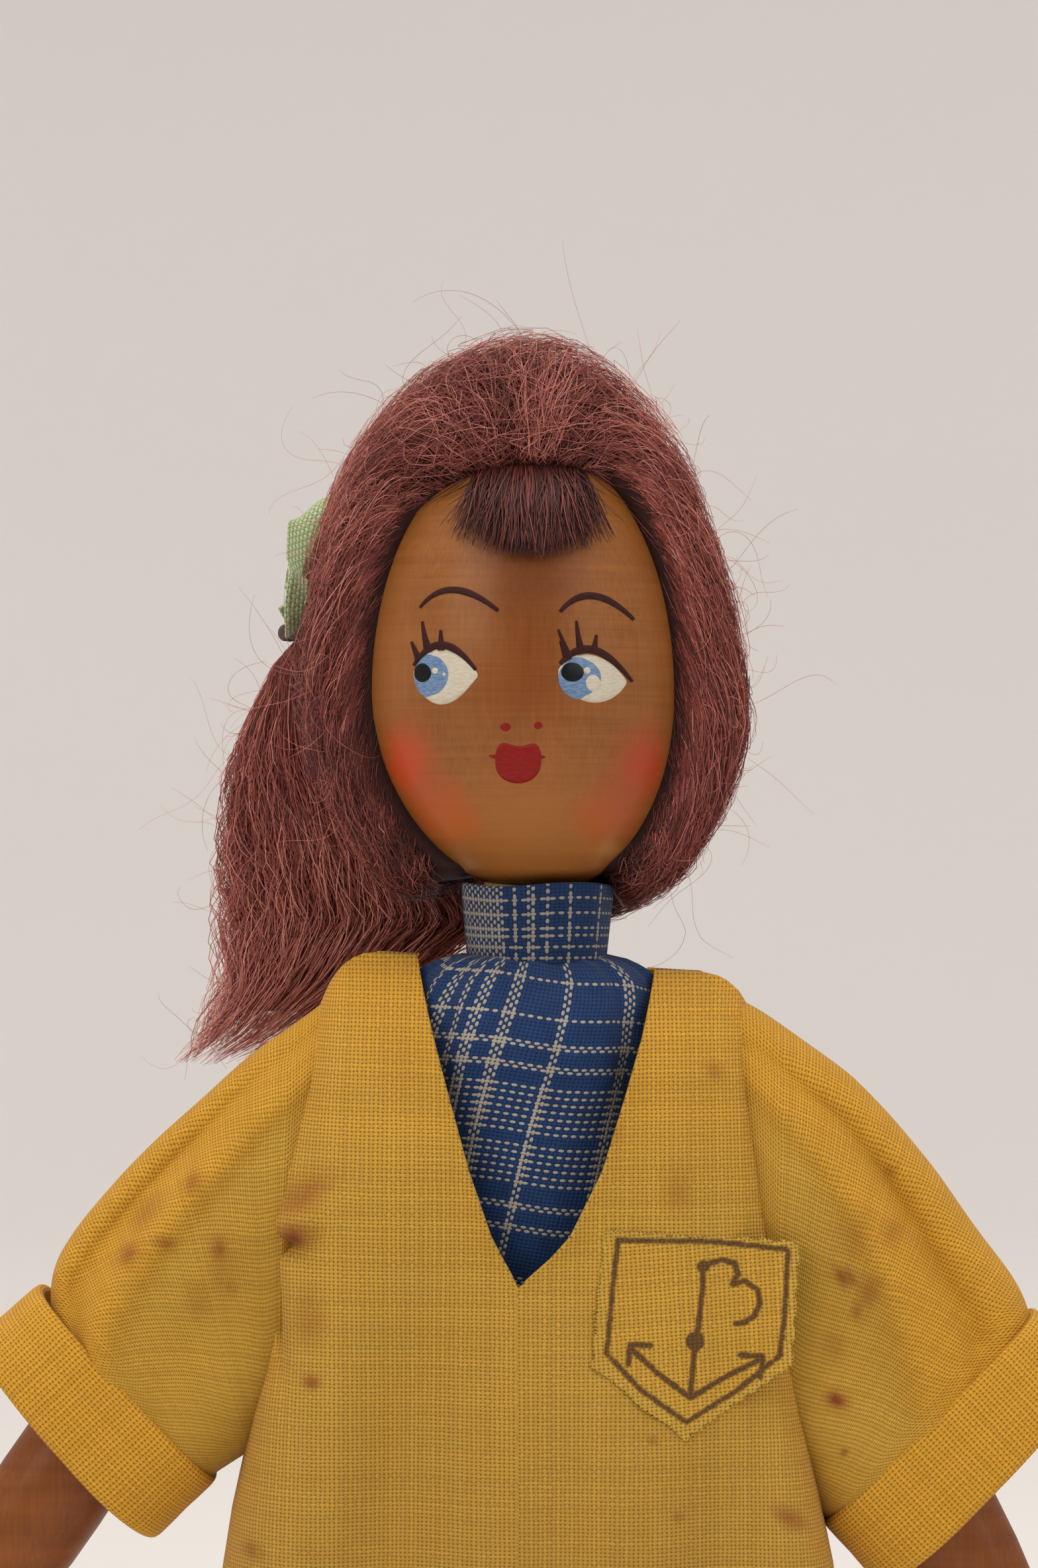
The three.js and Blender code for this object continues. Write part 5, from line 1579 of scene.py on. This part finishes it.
# ---------------------------------------------------------------- elastic tie and ribbon bow
# A dark rubber band gathers the tail, and a pale green plain-woven ribbon 5 mm wide is tied over
# it: two loops that stand out past the wig, a tight knot, and two tails behind the pony-tail.
rubber = new_material("dark_rubber_band", Base_Color=linear("#3a201c"), Roughness=0.6)[0]
wind = np.linspace(0, 2 * np.pi, 64, endpoint=False)[None, :]
round_section = np.linspace(0, 2 * np.pi, 17)[:, None]
out = 3.3 + 0.75 * np.cos(round_section)
flat_ring = np.stack([out * np.cos(wind), out * np.sin(wind), 0.8 * np.sin(round_section) + 0 * wind], 2)
flat_ring[..., 2] += 0.12 * np.sin(9 * wind)
tie_grid = TIE + flat_ring
tie_ring = surface("elastic_tie", tie_grid, rubber, around=True)
weld = tie_ring.modifiers.new("joined_seam", "WELD")
weld.merge_threshold = 0.000001
fit(tie_ring, "head", "tie_rubber", "ponytail_tie")

green_ribbon, ribbon_shader = new_material("green_woven_ribbon", Roughness=0.7, Sheen_Weight=0.2)
uv = add_node(green_ribbon, "UVMap", uv_map="cloth").outputs[0]
split = add_node(green_ribbon, "SeparateXYZ", {0: uv})
height, warp_on_top = woven(green_ribbon, split.outputs[0], split.outputs[1], 0.46, 0.34, 0.15)[:2]
ribbon_thread = add_node(
    green_ribbon,
    "Mix",
    {0: warp_on_top, 6: linear("#94a974"), 7: linear("#b8c59c")},
    data_type="RGBA",
)
cloth_shader(green_ribbon, ribbon_shader, height, ribbon_thread.outputs[2], linear("#5d6b44"))
knot_at = TIE + np.array([-1.2, -1.0, 3.05])


def ribbon(name, places, width_ways, wide, nodes):
    """A ribbon along a smooth path through places, its width laid along the given directions."""
    places, width_ways = np.array(places, dtype=float), np.array(width_ways, dtype=float)
    steps = np.linalg.norm(np.diff(places, axis=0), axis=1)
    length = np.concatenate([[0], np.cumsum(steps)])
    at = np.linspace(0, length[-1], 70)
    pick = lambda v: softened(np.stack([np.interp(at, length, c) for c in v.T], 1), 14)
    path, way = pick(places), pick(width_ways)
    way /= np.linalg.norm(way, axis=1)[:, None]
    side = np.linspace(-wide / 2, wide / 2, 15)[:, None, None]
    pinch = np.clip(np.minimum(at, 1.4 * length[-1]) / 4.4, 0.3, 1)[None, :, None]
    grid = path + way * side * pinch
    across = np.cross(way, np.gradient(path, axis=0))
    across /= np.linalg.norm(across, axis=1)[:, None]
    grid = grid + across * 0.35 * np.cos(side / wide * np.pi * 1.6)
    cloth = np.stack(np.broadcast_arrays(side[..., 0], at), -1)
    piece = surface(name, grid, green_ribbon, uv=cloth)
    thicken = piece.modifiers.new("ribbon_thickness", "SOLIDIFY")
    thicken.thickness, thicken.offset = 0.00022, 0
    fit(piece, "head", "green_ribbon", *nodes)
    return piece


ribbon(
    "ribbon_upper_loop",
    knot_at + np.array(
        [
            (0.4, 0, 0.6), (0.5, -3.0, 3.6), (0.5, -4.6, 6.8), (1.3, -4.2, 9.4), (2.0, -1.6, 10.5),
            (1.6, 1.4, 9.0), (1.0, 1.6, 5.8), (0.5, 0.3, 1.4)
        ]
    ),
    [
        (1, -0.2, 0.1), (1, -0.3, -0.3), (0.9, -0.3, -0.5), (0.85, -0.3, 0.3), (0.85, -0.2, 0.6),
        (0.95, -0.2, 0.2), (1, -0.2, 0.1), (1, 0, 0)
    ],
    5.2,
    ("ribbon_loop_upper",),
)
ribbon(
    "ribbon_lower_loop",
    knot_at + np.array(
        [
            (0.4, 0, 0.2), (0.6, -3.2, 2.2), (0.7, -6.6, 2.6), (0.7, -8.6, 1.0), (0.5, -8.0, -2.0),
            (0.5, -5.4, -3.2), (0.4, -2.0, -1.8), (0.3, -0.3, 0)
        ]
    ),
    [
        (1, 0, 0.1), (1, 0.1, 0.3), (0.95, 0.1, -0.4), (0.95, 0.2, -0.5), (0.95, 0.2, 0.3), (1, 0.1, 0.2),
        (1, 0, 0.1), (1, 0, 0)
    ],
    4.8,
    ("ribbon_loop_lower",),
)
for name, aside in (("inner", 1.8), ("outer", -1.4)):
    ribbon(
        f"ribbon_{name}_tail",
        [
            knot_at, knot_at + (0.4 * aside, 4.0, 0.2), (-19.2 + aside, 19.8, 170.0),
            (-18.4 + aside, 22.8, 163.5), (-18.2 + 1.3 * aside, 23.6, 156.2)
        ],
        [(1, 0, 0), (1, -0.1, 0), (1, -0.2 * aside, 0.1), (1, -0.1 * aside, 0), (1, 0.1 * aside, 0)],
        5.2,
        (f"ribbon_tail_{name}",),
    )
ball_rows = np.linspace(-np.pi / 2, np.pi / 2, 30)[:, None]
ball_turn = np.linspace(0, 2 * np.pi, 48, endpoint=False)
pleats = 1 + 0.07 * np.sin(5 * ball_turn + 3 * ball_rows)
knot_grid = knot_at + np.stack(
    [
        2.1 * np.cos(ball_rows) * np.cos(ball_turn) * pleats,
        2.3 * np.cos(ball_rows) * np.sin(ball_turn) * pleats,
        1.75 * np.sin(ball_rows) + 0 * ball_turn,
    ],
    2,
)
closed_turn = np.append(ball_turn, 2 * np.pi)
knot_uv = np.stack(np.broadcast_arrays(2.2 * closed_turn, 1.9 * ball_rows), -1)
knot = surface("ribbon_knot_tied", knot_grid, green_ribbon, around=True, ends=True, uv=knot_uv)
fit(knot, "head", "green_ribbon", "ribbon_knot")

# ---------------------------------------------------------------- trousers
# Navy twill sailor trousers, out of sight in front: a seat gathered on the torso, two straight
# legs, and a turn-up round each ankle.
navy, navy_shader = new_material("navy_cotton_twill", Roughness=0.85, Sheen_Weight=0.2)
uv = add_node(navy, "UVMap", uv_map="cloth").outputs[0]
split = add_node(navy, "SeparateXYZ", {0: uv})
slant = add_node(navy, "Math", {0: split.outputs[0], 1: 0.8, 2: split.outputs[1]}, operation="MULTIPLY_ADD")
height = woven(navy, split.outputs[0], split.outputs[1], 0.3, 0.28, 0.2)[0]
rib = add_node(navy, "Math", {0: slant.outputs[0], 1: 0.45}, operation="PINGPONG")
wale = add_node(navy, "MapRange", {0: rib.outputs[0], 1: 0.0, 2: 0.45})
navy_thread = add_node(
    navy,
    "Mix",
    {0: wale.outputs[0], 6: linear("#1a2238"), 7: linear("#2b3656")},
    data_type="RGBA",
)
cloth_shader(navy, navy_shader, height, navy_thread.outputs[2], linear("#0b0f1b"))


def navy_tube(name, rows, folds, columns=120):
    """A cloth tube from rows of (middle x, half width, half depth, height), with soft folds."""
    rows = np.asarray(rows, dtype=float)
    z = np.linspace(rows[0, 3], rows[-1, 3], 70)
    middle, wide, deep = (np.interp(z, rows[:, 3], rows[:, i])[:, None] for i in range(3))
    angle = np.linspace(0, 2 * np.pi, columns, endpoint=False)
    soft = folds * (np.sin(3 * angle + z[:, None] / 5) + 0.6 * np.sin(5 * angle - z[:, None] / 3.4))
    grid = np.stack(
        [middle + (wide + soft) * np.sin(angle), -(deep + soft) * np.cos(angle), z[:, None] + 0 * angle], 2
    )
    around_mm = np.append(angle, 2 * np.pi) * (wide.mean() + deep.mean()) / 2
    cloth = np.stack(np.broadcast_arrays(around_mm[None], z[:, None]), -1)
    piece = surface(name, grid, navy, around=True, uv=cloth)
    thicken = piece.modifiers.new("cloth_thickness", "SOLIDIFY")
    thicken.thickness, thicken.offset = 0.0004, -1
    return piece


waist_high = np.array(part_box("trouser_waist")[1]) * 1000 - doll_axis * 1000
seat = navy_tube(
    "trouser_seat",
    [
        (0, 11.6, 7.0, 57.0), (0, 14.4, 8.5, 60), (0, 15.6, 9.3, 66), (0, 14.2, 10.6, 72),
        (0, 12.9, 11.1, waist_high[2])
    ],
    0.25,
)
fit(seat, "torso", "navy_cotton", "trouser_waist")
for side, sign in SIDES.items():
    low, high = (np.array(c) * 1000 - doll_axis * 1000 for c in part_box(f"{side}_trouser_leg"))
    x = (low[0] + high[0]) / 2
    leg = navy_tube(
        f"{side}_trouser_leg_hung",
        [(x, 7.1, 7.1, low[2]), (x, 7.0, 7.0, 30), (x, 7.2, 7.2, 52), (x - 0.4 * sign, 7.3, 7.6, 67)],
        0.22,
    )
    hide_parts(f"{side}_trouser_leg")
    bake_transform(leg)
    low = np.array(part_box(f"{side}_turn_up")[0]) * 1000 - doll_axis * 1000
    band = evenly(
        [
            (0.5, 0.1), (0.1, 0.45), (0.1, 0.8), (0.5, 1.0), (3.5, 1.05), (6.4, 1.0), (6.9, 0.75),
            (6.9, 0.3), (6.4, 0.1), (3.5, 0.05), (0.5, 0.1)
        ],
        49,
    )
    angle = np.linspace(0, 2 * np.pi, 120, endpoint=False)
    out = 7.3 + band[:, 1:] + 0.15 * np.sin(3 * angle)
    grid = np.stack([x + out * np.sin(angle), -out * np.cos(angle), low[2] + band[:, :1] + 0 * angle], 2)
    run = np.concatenate([[0], np.cumsum(np.hypot(*np.diff(band, axis=0).T))])
    cloth = np.stack(np.broadcast_arrays(7.8 * np.append(angle, 2 * np.pi)[None], run[:, None]), -1)
    turn_up = surface(f"{side}_turn_up_folded", grid, navy, around=True, uv=cloth, flip=True)
    weld = turn_up.modifiers.new("joined_seam", "WELD")
    weld.merge_threshold = 0.000001
    fit(turn_up, f"{side}_leg", "navy_cotton", f"{side}_turn_up")
